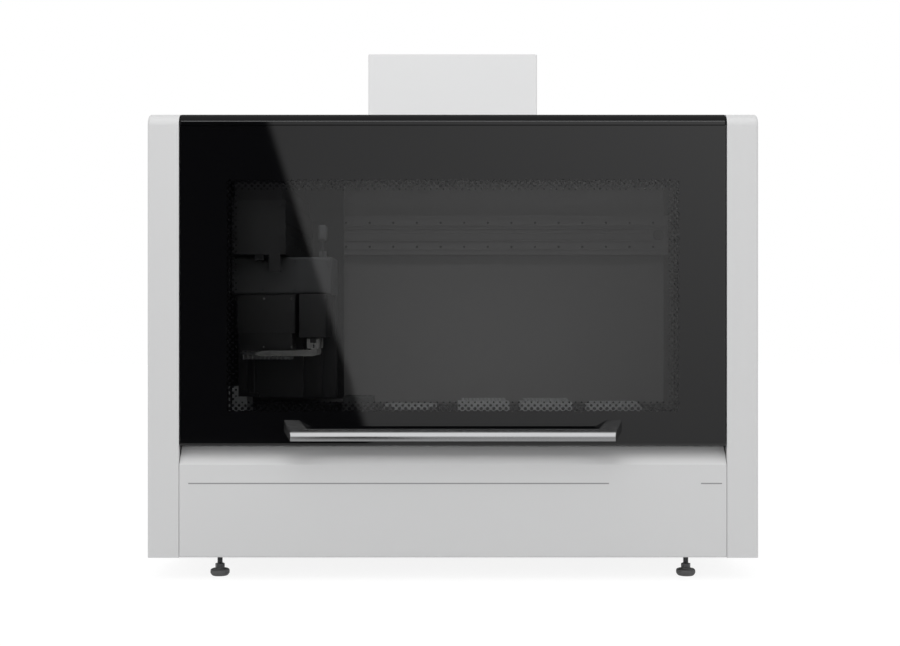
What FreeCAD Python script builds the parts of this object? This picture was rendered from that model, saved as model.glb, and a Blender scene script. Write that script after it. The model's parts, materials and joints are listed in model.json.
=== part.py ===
import FreeCAD, Part
import math
import os
import re
import Sketcher
from FreeCAD import Rotation, Vector

# Liquid handling workstation: a glazed bench cabinet with a sliding front sash, a deck of
# plate positions, and a gantry that carries a 96 nozzle head and a plate gripper.
# Millimetres, +Z up, +X to the right seen from the front, the front faces -Y.
# The origin is on the floor, under the middle of the outer box.

# Sizes in millimetres; a text that starts with = is worked out from the others
sizes = {
    # Outer case
    "case_width": 1250, "case_depth": 830, "case_height": 909, "foot_height": 46, "column_width": 64.5,
    "sheet_metal": 2.5, "front_round": 24, "corner_round": 6, "handle_reach": 55, "shut_line": 2.5,
    "lip_depth": 14, "fit": 0.3, "slide_gap": 0.4, "turn_gap": 0.1,
    "front": "=(handle_reach - case_depth) / 2", "rear": "=front + case_depth",
    "case_top": "=foot_height + case_height", "half_width": "=case_width / 2",
    "half_opening": "=half_width - column_width", "inner_side": "=half_width - sheet_metal - 1",
    "pan_top": "=foot_height + sheet_metal", "roof": "=case_top - sheet_metal", "rear_recess": 3.5,
    "rear_skin": "=rear - rear_recess - sheet_metal",
    # Steel frame
    "base_tube": 40, "post_tube": 30, "tube_wall": 3, "frame_setback": 40,
    "rear_rail_depth": "=case_depth - 90", "frame_front": "=front + frame_setback",
    "base_top": "=pan_top + base_tube", "middle_rail_depth": "=case_depth - 230",
    "rear_post_depth": "=case_depth - 100", "top_rail_setback": 64,
    "top_side": "=inner_side - corner_round + sheet_metal", "top_rail_bottom": "=roof - base_tube",
    # Levelling feet
    "foot_spread": "=case_width - 278", "foot_pad": 40, "pad_height": 17,
    "pad_rim": "=pad_height * 0.6", "foot_nut": 17, "foot_nut_height": 7.5, "foot_stem": 10,
    "stem_top": "=base_top - 8.5", "foot_front": "=frame_front + base_tube / 2",
    "foot_rear": "=front + rear_rail_depth + base_tube / 2",
    # Door
    "door_height": 680, "cap_height": 24, "cap_depth": 46, "glass": 6, "glass_recess": 2,
    "sill_height": 5, "sill_depth": 34, "sash_depth": 21, "window_width": 926, "window_height": 475,
    "window_sill": 69.5, "door_side": "=half_opening - shut_line",
    "door_bottom": "=case_top - door_height", "glass_front": "=front + glass_recess",
    "glass_rear": "=glass_front + glass", "glass_bottom": "=door_bottom + sill_height",
    "glass_top": "=case_top - cap_height - 1", "sash_rear": "=glass_rear + sash_depth",
    "window_bottom": "=door_bottom + window_sill", "window_top": "=window_bottom + window_height",
    # Handle
    "handle_width": 691, "bar_width": 652, "arm_width": 31, "bar_depth": 20, "handle_round": 9,
    "handle_lift": 52.7, "handle_root": 24.1, "handle_drop": 20.7, "bar_thick": 22,
    "handle_top": "=door_bottom + handle_lift", "handle_bottom": "=handle_top - handle_root",
    "bar_top": "=handle_top - handle_drop", "bar_bottom": "=bar_top - bar_thick",
    # Sash guides and gas springs
    "guide_width": 26, "guide_depth": 20, "guide_wall": 3, "guide_slot": 10, "guide_start": 16,
    "guide_bottom": "=door_bottom - 13", "guide_top": "=case_top - 19", "guide_foot": 22,
    "shoe_height": 34, "shoe_neck": 8, "lower_shoe": "=door_bottom + 25",
    "upper_shoe": "=door_bottom + 211", "lift_bracket": "=door_bottom + 255", "bracket_height": 12,
    "spring_radius": 9.5, "spring_bore": 4.1, "rod_radius": 4, "rod_start": "=base_top + 11.5",
    "guide_inner": "=half_opening + 3.5", "guide_front": "=front + guide_start",
    "guide_outer": "=guide_inner + guide_width", "guide_rear": "=guide_front + guide_depth",
    "spring_side": "=guide_outer - 13", "spring_line": "=front + 50",
    # Chamber and deck
    "wall_inset": 11.5, "wall_sheet": 3, "wall_start": 64, "back_wall": 6,
    "back_wall_depth": "=case_depth - 70", "chamber_side": "=half_opening - wall_inset",
    "wall_front": "=front + wall_start", "back_face": "=front + back_wall_depth",
    "deck_top": "=door_bottom + 15", "deck_plate": 12, "deck_start": 60,
    "deck_end": "=back_wall_depth - 60", "deck_leg": 30, "leg_spread": 400,
    "duct_height": 34.5, "duct_wall": 3, "wall_foot": "=deck_top - 40",
    "deck_side": "=chamber_side - fit", "deck_under": "=deck_top - deck_plate", "plate_length": 127.76,
    "plate_width": 85.48, "column_pitch": 150, "row_pitch": 125, "first_row": 150, "nest_height": 6,
    "nest_border": 5, "duct_gap": 19.26,
    "duct_start": "=first_row + 3 * row_pitch + plate_width / 2 + nest_border + duct_gap",
    "nest_floor": 2.5, "nest_fit": 0.6, "nest_ledge": 12, "hole_length": 60,
    "hole_width": 40, "nest_top": "=deck_top + nest_height", "nest_seat": "=deck_top + nest_floor",
    # Gantry
    "beam_depth": 70, "beam_height": 100, "beam_bottom": "=deck_top + 410", "beam_wall": 5,
    "beam_slot": 8, "beam_front": "=back_face - beam_depth", "beam_top": "=beam_bottom + beam_height",
    "beam_end": "=chamber_side - fit", "beam_middle": "=beam_bottom + beam_height / 2",
    "rail_depth": 10, "rail_height": 15, "rail_inset": 12, "rail_end": "=beam_end - 8.7",
    "rail_front": "=beam_front - rail_depth", "pulley_radius": 14, "belt": 2, "belt_width": 10,
    "pulley_side": "=beam_end - 24.7", "belt_gap": 3, "belt_rear": "=beam_front - belt_gap",
    "belt_front": "=belt_rear - belt_width", "saddle_rear": "=rail_front - 8", "saddle_thick": 10,
    "saddle_left": "=69 - chamber_side", "saddle_right": "=saddle_left + 140",
    "saddle_front": "=saddle_rear - saddle_thick", "saddle_over": 5, "runner_length": 40,
    "runner_inset": 10, "runner_cheek": 6, "clamp_inset": 55, "cover_left": "=9 - chamber_side",
    "cover_right": "=saddle_right + 66", "cover_bottom": "=deck_top + 45",
    "cover_top": "=beam_top + 85", "cover_sheet": 3, "arm_left": "=saddle_left + 12",
    "arm_section": 115, "arm_bottom": "=beam_bottom - 29", "arm_section_height": 114, "arm_wall": 4,
    "arm_start": 95, "arm_cap": 6, "tray_height": 38, "tray_wall": 2, "tray_inset": 7,
    "arm_right": "=arm_left + arm_section", "arm_top": "=arm_bottom + arm_section_height",
    "arm_front": "=front + arm_start", "y_rail_width": 20, "y_rail_height": 11,
    "arm_centre": "=arm_left + arm_section / 2", "y_rail_bottom": "=arm_bottom - y_rail_height",
    "screw_radius": 6, "y_screw_side": "=arm_left + 92", "y_screw_height": "=arm_bottom - 25",
    "bearing": 12, "motor": 44, "x_motor": 44, "shaft_radius": 4, "shaft_hole": 7,
    # Carriage on the arm
    "housing_left": "=arm_left - 19", "housing_right": "=housing_left + 226",
    "housing_bottom": "=arm_bottom - 83", "housing_top": "=arm_bottom - 3", "housing_start": 150,
    "housing_length": 162, "housing_round": 5, "housing_front": "=front + housing_start",
    "housing_rear": "=housing_front + housing_length", "back_left": "=housing_left + 9",
    "back_right": "=back_left + 145", "back_bottom": "=housing_bottom - 226", "back_start": 256,
    "back_plate": 10, "back_front": "=front + back_start", "z_rail_side": "=back_left + 14",
    "z_rail_width": 12, "z_rail_depth": 10, "z_screw_side": "=back_left + 37", "z_screw_radius": 4,
    "z_screw_start": 246, "z_bearing": 9, "z_screw_line": "=front + z_screw_start",
    # Nozzle head
    "head_centre": "=back_left + 76", "head_width": 128, "head_start": 148, "head_depth": 84,
    "head_bottom": "=housing_bottom - 84", "head_height": 83.5, "head_wall": 6, "head_round": 4,
    "cavity_height": 62, "cavity_floor": 12, "head_front": "=front + head_start",
    "head_rear": "=head_front + head_depth", "head_top": "=head_bottom + head_height",
    "head_line": "=front + head_start + head_depth / 2", "nozzle_pitch": 9, "nozzle_columns": 12,
    "nozzle_rows": 8, "nozzle_radius": 2.6, "barrel_bottom": "=head_bottom - 38",
    "nozzle_end": "=barrel_bottom - 19", "barrel_width": 112, "barrel_depth": 76, "ejector_plate": 6,
    "ejector_drop": 2, "nozzle_gap": 0.6, "plunger_plate": 10, "plunger_depth": 68, "pillar_radius": 4,
    "runner_width": 22, "runner_height": 68, "runner_plate": 6, "runner_foot": 8,
    # Plate gripper
    "column_left": "=housing_right - 89", "column_right": "=housing_right - 1",
    "column_bottom": "=housing_bottom - 228", "column_start": 282, "column_depth": 30,
    "module_left": "=column_left + 22", "module_right": "=module_left + 57",
    "module_bottom": "=housing_bottom - 93", "module_start": 120, "module_end": 262,
    "module_top": "=housing_bottom - slide_gap", "grip_rail_side": "=(module_left + module_right) / 2",
    "grip_rail_width": 16, "grip_rail_depth": 12, "jaw_rail_width": 13, "jaw_rail_height": 11,
    "jaw_rail_start": 134, "jaw_rail_end": 248, "jaw_width": 27, "jaw_height": 21, "jaw_block": 16,
    "bend": 6, "finger_thick": 3.3, "finger_left": "=head_centre - 22",
    "leg_right": "=module_left + 36", "leg_top": "=module_bottom - 14", "tip_draw": 20,
    "finger_bottom": "=module_bottom - 40", "bar_height": 12, "leg_width": 12, "grip_open": 101.5,
    # Clean air unit on the roof
    "tower_width": 376, "tower_height": 170, "tower_setback": 250, "tower_depth": 430, "tower_round": 4,
    "tower_bevel": 2, "outlet_drop": 30, "tower_front": "=front + tower_setback", "filter_border": 16,
    "filter_height": 62, "duct_border": 26, "drum_radius": 120, "drum_height": 82, "drum_wall": 3,
    "inlet_radius": 62, "impeller_radius": 104, "impeller_height": 46, "blade": 2.5, "blade_count": 12,
    "blade_length": 28, "hub_radius": 30, "spindle_radius": 6, "drum_sides": 24, "blower_motor": 26,
    "lean": 35, "drum_line": "=tower_front + tower_depth / 2",
    "drum_bottom": "=case_top + filter_height", "impeller_bottom": "=drum_bottom + 20",
    # Lower front panel
    "slope_rise": 34.5, "panel_gap": 4, "panel_face": "=door_bottom - panel_gap - pan_top - slope_rise",
    "slope_depth": 30, "ledge": 18, "panel_flange": 28, "groove_height": 149.5, "groove_width": 2.5,
    "groove_depth": 1.2, "panel_side": "=half_opening - 1",
    "groove_break": "=panel_side - 240.5", "groove_return": "=panel_side - 52.5",
    "groove_left": "=18.5 - panel_side", "groove_right": "=panel_side - 9.5",
    # Base pan
    "pan_start": 6, "foot_hole": 14, "slot_length": 60, "slot_width": 6, "slot_pitch": 14,
    "first_slot": 120, "slot_count": 6, "slot_start": 520, "pan_end": "=rear_skin",
    # Rear panel
    "inlet_side": "=155 - half_width", "inlet_level": 120, "inlet_width": 50, "inlet_height": 58, "rear_slot_rows": 2,
    "socket_side": "=inlet_side + 90", "socket_width": 60, "socket_height": 30, "socket_pitch": 18, "socket_size": 14,
    "socket_depth": 18, "socket_mouth": 10, "rear_slot_start": 150, "rear_slot_pitch": 16,
    "rear_row_pitch": 90, "rear_slot_side": 240,
    # Power inlet
    "inlet_depth": 46, "rocker_width": 20, "rocker_height": 14, "rocker_depth": 9, "rocker_level": 138,
    "rocker_pin": 1.5, "rocker_proud": 1.2, "rocker_room": 4, "rocker_gap": 0.8, "plug_width": 24,
    "plug_height": 17, "plug_depth": 16, "plug_level": "=inlet_level - 11.5", "pin_spread": 7,
    "pin_recess": 5, "plate_overlap": 8, "connector_sheet": 1.5,
    "inlet_face": "=rear_skin + sheet_metal + 1",
    # Electronics tray
    "tray_start": 240, "tray_end": 460, "supply_left": "=225 - half_width",
    "supply_right": "=supply_left + 230", "supply_height": 62,
    "board_left": 60, "board_right": "=board_left + 270", "board_lift": 10, "chip_height": 8, "chip_size": 40,
    "chip_pitch": 70, "tray_border": 20, "supply_start": 300, "standoff": 8, "fan_hole": 24,
    # Chamber lamp
    "lamp_length": "=2 * chamber_side - 98", "lamp_depth": 26, "lamp_height": 13, "lamp_start": 2,
    # Waste bin
    "waste_left": "=2 - chamber_side", "waste_right": "=waste_left + 61", "waste_start": 452,
    "waste_end": 558, "waste_top": "=deck_top + 82", "waste_wall": 2, "waste_bottom": "=deck_top - 170",
    "waste_lip": 3,
    # Labware
    "rack_height": 54, "rack_draw": 3, "plate_height": 14.4, "plate_draw": 1, "deep_height": 41,
    "shaker_left": -170, "shaker_right": -32, "shaker_top": "=deck_top + 28.5",
    "shaker_seat": "=deck_top + 26.5", "shaker_plate": -101, "block_left": -262, "block_right": -190,
    "block_top": "=deck_top + 59",
    # Jaws
    "jaw_top": "=module_bottom - 3", "jaw_middle": "=module_left + 22 + jaw_rail_width / 2",
    "grip_runner": 28,
}

doc = FreeCAD.newDocument("liquid_handler")
sheet = doc.addObject("Spreadsheet::Sheet", "sizes")
for row, (alias, value) in enumerate(sizes.items(), 1):
    sheet.set(f"A{row}", alias)
    sheet.set(f"B{row}", str(value))
    sheet.setAlias(f"B{row}", alias)
doc.recompute()
pieces = []


def formula(text):
    """Point every size named in a formula at the sheet."""
    return re.sub(r"[A-Za-z_]\w*",
                  lambda word: "sizes." + word.group() if word.group() in sizes else word.group(),
                  str(text))


def keep(item, label):
    """Mark an object as a finished sub-part under its own name."""
    item.Label = label
    pieces.append(item)
    return item


def bind(item, **formulas):
    for name, text in formulas.items():
        item.setExpression(name, formula(text))


def place(item, x=0, y=0, z=0):
    for axis, text in zip("xyz", (x, y, z)):
        item.setExpression("Placement.Base." + axis, formula(text))


def box(name, x, y, z):
    """A block between two formulas on each axis."""
    item = doc.addObject("Part::Box", name)
    for prop, axis, (low, high) in zip(("Length", "Width", "Height"), "xyz", (x, y, z)):
        item.setExpression(prop, formula(f"({high}) - ({low})"))
        item.setExpression("Placement.Base." + axis, formula(low))
    return item


turns = {
    "x": Rotation(Vector(0, 1, 0), 90),
    "y": Rotation(Vector(1, 0, 0), -90),
    "z": Rotation(),
}


def rod(name, axis, x, y, z, radius):
    """A round bar along one axis, where that axis has a span and the others a centre."""
    item = doc.addObject("Part::Cylinder", name)
    item.Placement = FreeCAD.Placement(Vector(), turns[axis])
    spans = {"x": x, "y": y, "z": z}
    low, high = spans[axis]
    spans[axis] = low
    place(item, **spans)
    bind(item, Radius=radius, Height=f"({high}) - ({low})")
    return item


def prism(name, sides, x, y, z, radius):
    """An upright bar with flat sides."""
    item = doc.addObject("Part::Prism", name)
    item.Polygon = sides
    bind(item, Circumradius=radius, Height=f"({z[1]}) - ({z[0]})")
    place(item, x, y, z[0])
    return item


def joined(name, items):
    item = doc.addObject("Part::MultiFuse", name)
    item.Shapes = items
    item.Refine = True
    return item


def group(name, items):
    item = doc.addObject("Part::Compound", name)
    item.Links = items
    return item


def without(name, base, tools):
    """A solid with other solids taken out of it."""
    item = doc.addObject("Part::Cut", name)
    item.Base = base
    item.Tool = tools[0] if len(tools) == 1 else group(name + "_cutters", tools)
    item.Refine = True
    return item


def both(side, low, high):
    """A span on the right side, or its mirror image on the left."""
    return (low, high) if side > 0 else (f"-({high})", f"-({low})")


def origin_plane(body, role):
    return next(item for item in body.Origin.OriginFeatures if item.Role == role)


def outline(body, name, plane, points, height=0):
    """A closed sketch of straight edges whose corners are tied to formulas."""
    sketch = body.newObject("Sketcher::SketchObject", name)
    sketch.AttachmentSupport = [(origin_plane(body, plane), "")]
    sketch.MapMode = "FlatFace"
    sketch.setExpression("AttachmentOffset.Base.z", formula(height))
    count = len(points)
    rough = [Vector(100 * math.cos(2 * math.pi * k / count), 100 * math.sin(2 * math.pi * k / count), 0)
             for k in range(count)]
    for k in range(count):
        sketch.addGeometry(Part.LineSegment(rough[k], rough[(k + 1) % count]), False)
    for k in range(count):
        sketch.addConstraint(Sketcher.Constraint("Coincident", k, 2, (k + 1) % count, 1))
    for k, point in enumerate(points):
        for kind, start, text in zip(("DistanceX", "DistanceY"), rough[k], point):
            number = sketch.addConstraint(Sketcher.Constraint(kind, k, 1, start))
            sketch.setExpression(f"Constraints[{number}]", formula(text))
    return sketch


def pad(body, name, sketch, length, reverse=False):
    item = body.newObject("PartDesign::Pad", name)
    item.Profile = sketch
    item.Reversed = reverse
    bind(item, Length=length)
    return item


def pocket(body, name, sketch, length, reverse=False):
    item = body.newObject("PartDesign::Pocket", name)
    item.Profile = sketch
    item.Reversed = reverse
    bind(item, Length=length)
    return item


def carve(body, name, x, y, z, kind="Subtractive"):
    """A block taken out of a body, or added to it, between two formulas on each axis."""
    item = body.newObject(f"PartDesign::{kind}Box", name)
    for prop, axis, (low, high) in zip(("Length", "Width", "Height"), "xyz", (x, y, z)):
        item.setExpression(prop, formula(f"({high}) - ({low})"))
        item.setExpression("Placement.Base." + axis, formula(low))
    return item


def rounded(body, name, radius, chosen):
    """Fillet the edges of the body that pass a test on their box."""
    doc.recompute()
    base = body.Tip
    edges = [f"Edge{number}" for number, edge in enumerate(base.Shape.Edges, 1)
             if chosen(edge.BoundBox)]
    item = body.newObject("PartDesign::Fillet", name)
    item.Base = (base, edges)
    bind(item, Radius=radius)
    return item


def near(first, second):
    return abs(first - second) < 0.01


def size(alias):
    return float(sheet.get(alias))


# Base frame: three cross rails, two side rails and six deck legs of square tube, welded
def tube(name, x, y, z, axis, closed=False):
    """A square tube along one axis: its outside, and the space in it."""
    spans = {"x": x, "y": y, "z": z}
    inner = {key: (f"({low}) + tube_wall", f"({high}) - tube_wall") for key, (low, high) in spans.items()}
    if not closed:
        inner[axis] = (f"({spans[axis][0]}) - 1", f"({spans[axis][1]}) + 1")
    return box(name + "_outside", **spans), box(name + "_inside", **inner)


corners = [(-1, "foot_front"), (1, "foot_front"), (-1, "foot_rear"), (1, "foot_rear")]
frame_level = ("pan_top", "base_top")
rails = [tube(f"{name}_cross_rail", ("-inner_side", "inner_side"),
              (f"front + {start}", f"front + {start} + base_tube"), frame_level, "x", True)
         for name, start in (("front", "frame_setback"), ("middle", "middle_rail_depth"),
                             ("rear", "rear_rail_depth"))]
rails += [tube(f"side_rail_{name}", both(side, "inner_side - base_tube", "inner_side"),
               ("frame_front", "front + rear_rail_depth + base_tube"), frame_level, "y")
          for name, side in (("left", -1), ("right", 1))]
legs = []
for k, across in enumerate(("-leg_spread", "0", "leg_spread")):
    for name, start in (("front", "frame_setback + base_tube - deck_leg"), ("rear", "middle_rail_depth")):
        outside, inside = tube(f"deck_leg_{name}_{k}", (f"{across} - deck_leg / 2", f"{across} + deck_leg / 2"),
                               (f"front + {start}", f"front + {start} + deck_leg"),
                               ("base_top", "deck_under"), "z")
        legs.append(without(f"deck_leg_{name}_{k}_tube", outside, [inside]))
stem_bores = [rod(f"stem_bore_{k}", "z", f"{side} * foot_spread / 2", line, frame_level,
                  "foot_stem / 2 + turn_gap")
              for k, (side, line) in enumerate(corners, 1)]
rail_frame = without("rail_frame", joined("rail_outsides", [outside for outside, inside in rails]),
                     [inside for outside, inside in rails] + stem_bores)
keep(joined("base_frame_set", [rail_frame] + legs), "base_frame")

posts = []
for name, side in (("left", -1), ("right", 1)):
    for end, start in (("front", "frame_setback"), ("rear", "rear_post_depth")):
        outside, inside = tube(f"post_{name}_{end}", both(side, "inner_side - post_tube", "inner_side"),
                               (f"front + {start}", f"front + {start} + post_tube"),
                               ("base_top", "top_rail_bottom"), "z")
        posts.append(without(f"post_{name}_{end}_tube", outside, [inside]))

top_level = ("top_rail_bottom", "roof")
top_rails = [box(f"top_rail_{k}", ("-top_side", "top_side"), span, top_level)
             for k, span in enumerate((("front + top_rail_setback", "front + top_rail_setback + post_tube"),
                                       ("front + rear_post_depth", "front + rear_post_depth + post_tube")))]
top_rails += [box(f"top_side_rail_{name}", both(side, "top_side - post_tube", "top_side"),
                  ("frame_front", "front + rear_post_depth + post_tube"), top_level)
              for name, side in (("left", -1), ("right", 1))]
keep(joined("top_frame", posts + top_rails), "upper_frame")

# Levelling feet: round pads, and stems that turn in the frame with a hexagon above the pad
pads = []
for k, (side, line) in enumerate(corners, 1):
    across = f"{side} * foot_spread / 2"
    disc = rod(f"pad_disc_{k}", "z", across, line, ("0", "pad_rim"), "foot_pad / 2")
    dome = doc.addObject("Part::Cone", f"pad_dome_{k}")
    bind(dome, Radius1="foot_pad / 2", Radius2="foot_nut * 0.6", Height="pad_height - pad_rim")
    place(dome, across, line, "pad_rim")
    pads.append(joined(f"pad_{k}", [disc, dome]))
    hexagon = prism(f"foot_hexagon_{k}", 6, across, line,
                    ("pad_height + fit", "pad_height + fit + foot_nut_height"), "foot_nut / sqrt(3)")
    stem = rod(f"stem_{k}", "z", across, line, ("pad_height + fit", "stem_top"), "foot_stem / 2")
    keep(joined(f"foot_{k}", [hexagon, stem]), f"foot_stem_{k}")
keep(group("pads", pads), "foot_pads")

# Side panels: folded pans with a rounded front top edge, open towards the cabinet
for name, side in (("left", -1), ("right", 1)):
    corner = ("half_opening" if side > 0 else "-half_width", "front", "foot_height")
    outer = size("column_width") if side > 0 else 0
    height = size("case_height")
    blank = doc.addObject("PartDesign::Body", f"{name}_panel_blank")
    place(blank, *corner)
    carve(blank, f"{name}_block", ("0", "column_width"), ("0", "case_depth"), ("0", "case_height"), "Additive")
    rounded(blank, f"{name}_front_round", "front_round",
            lambda bound: near(bound.YMax, 0) and near(bound.ZMin, height))
    rounded(blank, f"{name}_outer_round", "corner_round",
            lambda bound: near(bound.XMin, outer) and near(bound.XMax, outer)
            and bound.ZMax > height / 2 and not near(bound.YMin, size("case_depth")))
    space = doc.addObject("PartDesign::Body", f"{name}_panel_space")
    place(space, *corner)
    carve(space, f"{name}_hollow",
          ("-1", "column_width - sheet_metal") if side > 0 else ("sheet_metal", "column_width + 1"),
          ("sheet_metal", "case_depth - sheet_metal"), ("sheet_metal", "case_height - sheet_metal"), "Additive")
    rounded(space, f"{name}_inner_round", "front_round - sheet_metal",
            lambda bound: near(bound.YMax, size("sheet_metal")) and near(bound.ZMin, height - size("sheet_metal")))
    lip = box(f"{name}_front_lip", both(side, "half_opening", "half_opening + sheet_metal"),
              ("front + sheet_metal / 2", "front + lip_depth"),
              ("foot_height + sheet_metal / 2", "case_top - front_round"))
    keep(joined(f"{name}_panel", [without(f"{name}_pan", blank, [space]), lip]), f"{name}_side_panel")

# Lower front panel: a folded sheet that slopes back at the top to clear the door handle
body = doc.addObject("PartDesign::Body", "lower_front_panel")
place(body, "-panel_side", "front", "pan_top")
fold = outline(body, "panel_fold", "YZ_Plane", [
    ("0", "0"), ("0", "panel_face"), ("slope_depth", "panel_face + slope_rise"),
    ("slope_depth + ledge", "panel_face + slope_rise"),
    ("slope_depth + ledge", "panel_face + slope_rise - sheet_metal"),
    ("slope_depth + sheet_metal * 0.4", "panel_face + slope_rise - sheet_metal"),
    ("sheet_metal", "panel_face - sheet_metal * 0.4"), ("sheet_metal", "sheet_metal"),
    ("panel_flange", "sheet_metal"), ("panel_flange", "0")])
pad(body, "panel_sheet", fold, "2 * panel_side")
for name, low, high in (("long", "groove_left", "groove_break"), ("short", "groove_return", "groove_right")):
    carve(body, f"{name}_groove", (f"panel_side + {low}", f"panel_side + {high}"),
          ("-1", "groove_depth"), ("groove_height - groove_width / 2", "groove_height + groove_width / 2"))
keep(body, "lower_front_panel")

# Base pan with clearance for the feet and rows of air slots
pan = box("pan_sheet", ("-panel_side", "panel_side"), ("front + pan_start", "pan_end"),
          ("foot_height", "pan_top"))
through_pan = ("foot_height - 1", "pan_top + 1")
pan_cuts = [box(f"pan_foot_hole_{k}", (f"{side} * foot_spread / 2 - foot_hole / 2",
                                       f"{side} * foot_spread / 2 + foot_hole / 2"),
                (f"{line} - foot_hole / 2", f"{line} + foot_hole / 2"), through_pan)
            for k, (side, line) in enumerate(corners, 1)]
for k in range(int(size("slot_count"))):
    for name, side in (("left", -1), ("right", 1)):
        start = f"{k} * slot_pitch + first_slot"
        pan_cuts.append(box(f"pan_slot_{name}_{k}", both(side, start, f"{start} + slot_width"),
                            ("front + slot_start - slot_length", "front + slot_start"), through_pan))
keep(without("pan_cut", pan, pan_cuts), "base_pan")

# Roof with the opening under the clean air unit
roof_sheet = box("roof_sheet", ("-panel_side - 0.5", "panel_side + 0.5"),
                 ("front + cap_depth + shut_line", "rear_skin + sheet_metal"), ("roof", "case_top"))
roof_duct = box("roof_duct", ("-tower_width / 2 + duct_border", "tower_width / 2 - duct_border"),
                ("tower_front + duct_border", "tower_front + tower_depth - duct_border"),
                ("roof - 1", "case_top + 1"))
keep(without("roof_cut", roof_sheet, [roof_duct]), "top_panel")

# Rear panel with air slots, an opening for the power inlet and one for the data sockets
rear_sheet = box("rear_sheet", ("-panel_side - 0.5", "panel_side + 0.5"),
                 ("rear_skin", "rear_skin + sheet_metal"), ("foot_height", "roof"))
through = ("rear_skin - 1", "rear_skin + sheet_metal + 1")
rear_cuts = [
    box("inlet_opening", ("inlet_side - inlet_width / 2", "inlet_side + inlet_width / 2"), through,
        ("inlet_level - inlet_height / 2", "inlet_level + inlet_height / 2")),
    box("socket_opening", ("socket_side - socket_width / 2", "socket_side + socket_width / 2"), through,
        ("inlet_level - socket_height / 2", "inlet_level + socket_height / 2"))]
for row in range(int(size("rear_slot_rows"))):
    for k in range(int(size("slot_count"))):
        level = f"rear_slot_start + {row} * rear_row_pitch"
        start = f"{k} * rear_slot_pitch + rear_slot_side"
        rear_cuts.append(box(f"rear_slot_{row}_{k}", (start, f"{start} + slot_width"), through,
                             (level, f"{level} + slot_length")))
keep(without("rear_cut", rear_sheet, rear_cuts), "rear_panel")

# Power inlet set into the rear panel, with a rocker that tips about a pin
well = box("inlet_well", ("inlet_side - inlet_width / 2 + fit", "inlet_side + inlet_width / 2 - fit"),
           ("inlet_face - inlet_depth", "inlet_face"),
           ("inlet_level - inlet_height / 2 + fit", "inlet_level + inlet_height / 2 - fit"))
plug_well = box("plug_well", ("inlet_side - plug_width / 2", "inlet_side + plug_width / 2"),
                ("inlet_face - plug_depth", "inlet_face + 1"),
                ("plug_level - plug_height / 2", "plug_level + plug_height / 2"))
rocker_well = box("rocker_well", ("inlet_side - rocker_width / 2 - fit", "inlet_side + rocker_width / 2 + fit"),
                  ("inlet_face - rocker_depth - rocker_room", "inlet_face + 1"),
                  ("rocker_level - rocker_height / 2 - rocker_gap",
                   "rocker_level + rocker_height / 2 + rocker_gap"))
rocker_line = "inlet_face - rocker_depth / 2"
rocker_holes = rod("rocker_holes", "x", ("inlet_side - rocker_width / 2 - rocker_room",
                                         "inlet_side + rocker_width / 2 + rocker_room"),
                   rocker_line, "rocker_level", "rocker_pin + turn_gap")
pins = [box(f"inlet_pin_{k}", (f"inlet_side + {k} * pin_spread - 1", f"inlet_side + {k} * pin_spread + 1"),
            ("inlet_face - plug_depth - 1", "inlet_face - pin_recess"), (f"plug_level + {lift} - 2",
                                                                         f"plug_level + {lift} + 2"))
        for k, lift in ((-1, "-1.5"), (0, "2.5"), (1, "-1.5"))]
inlet = joined("inlet", [without("inlet_wells", well, [plug_well, rocker_well, rocker_holes])] + pins)
body = doc.addObject("PartDesign::Body", "rocker_body")
place(body, "inlet_side - rocker_width / 2", rocker_line, "rocker_level")
paddle = outline(body, "rocker_side", "YZ_Plane", [
    ("-rocker_depth / 2", "-rocker_height / 4"), ("-rocker_depth / 2", "rocker_height / 4"),
    ("rocker_depth / 2 - 0.5", "rocker_height / 2"), ("rocker_depth / 2 - 2", "0"),
    ("rocker_depth / 2 + rocker_proud", "-rocker_height / 2 + 1"),
    ("rocker_depth / 2 - 2", "-rocker_height / 2")])
pad(body, "rocker_paddle", paddle, "rocker_width")
axle = rod("rocker_axle", "x", ("inlet_side - rocker_width / 2 - 3", "inlet_side + rocker_width / 2 + 3"),
           rocker_line, "rocker_level", "rocker_pin")
keep(joined("rocker", [body, axle]), "power_rocker")

sockets = []
socket_holes = []
for k in (-1, 0, 1):
    middle = f"socket_side + {k} * socket_pitch"
    sockets.append(box(f"socket_{k + 1}", (f"{middle} - socket_size / 2", f"{middle} + socket_size / 2"),
                       ("rear_skin - socket_depth", "rear_skin + sheet_metal"),
                       ("inlet_level - socket_size / 2", "inlet_level + socket_size / 2")))
    socket_holes.append(box(f"socket_hole_{k + 1}", (f"{middle} - socket_mouth / 2", f"{middle} + socket_mouth / 2"),
                            ("rear_skin - socket_mouth", "rear_skin + sheet_metal + 1"),
                            ("inlet_level - socket_mouth / 2", "inlet_level + socket_mouth / 2")))
connector_plate = box("connector_plate", ("inlet_side - inlet_width / 2 - plate_overlap",
                                          "socket_side + socket_width / 2 + plate_overlap"),
                      ("rear_skin - connector_sheet", "rear_skin"),
                      ("inlet_level - inlet_height / 2 - plate_overlap",
                       "inlet_level + inlet_height / 2 + plate_overlap"))
plate_hole = box("connector_plate_hole", ("inlet_side - inlet_width / 2 + 1", "inlet_side + inlet_width / 2 - 1"),
                 ("rear_skin - connector_sheet - 1", "rear_skin + 1"),
                 ("inlet_level - inlet_height / 2 + 1", "inlet_level + inlet_height / 2 - 1"))
socket_panel = joined("socket_block", sockets + [without("connector_plate_cut", connector_plate, [plate_hole])])
keep(joined("connectors", [inlet, without("socket_panel", socket_panel, socket_holes)]), "connector_panel")

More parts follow.
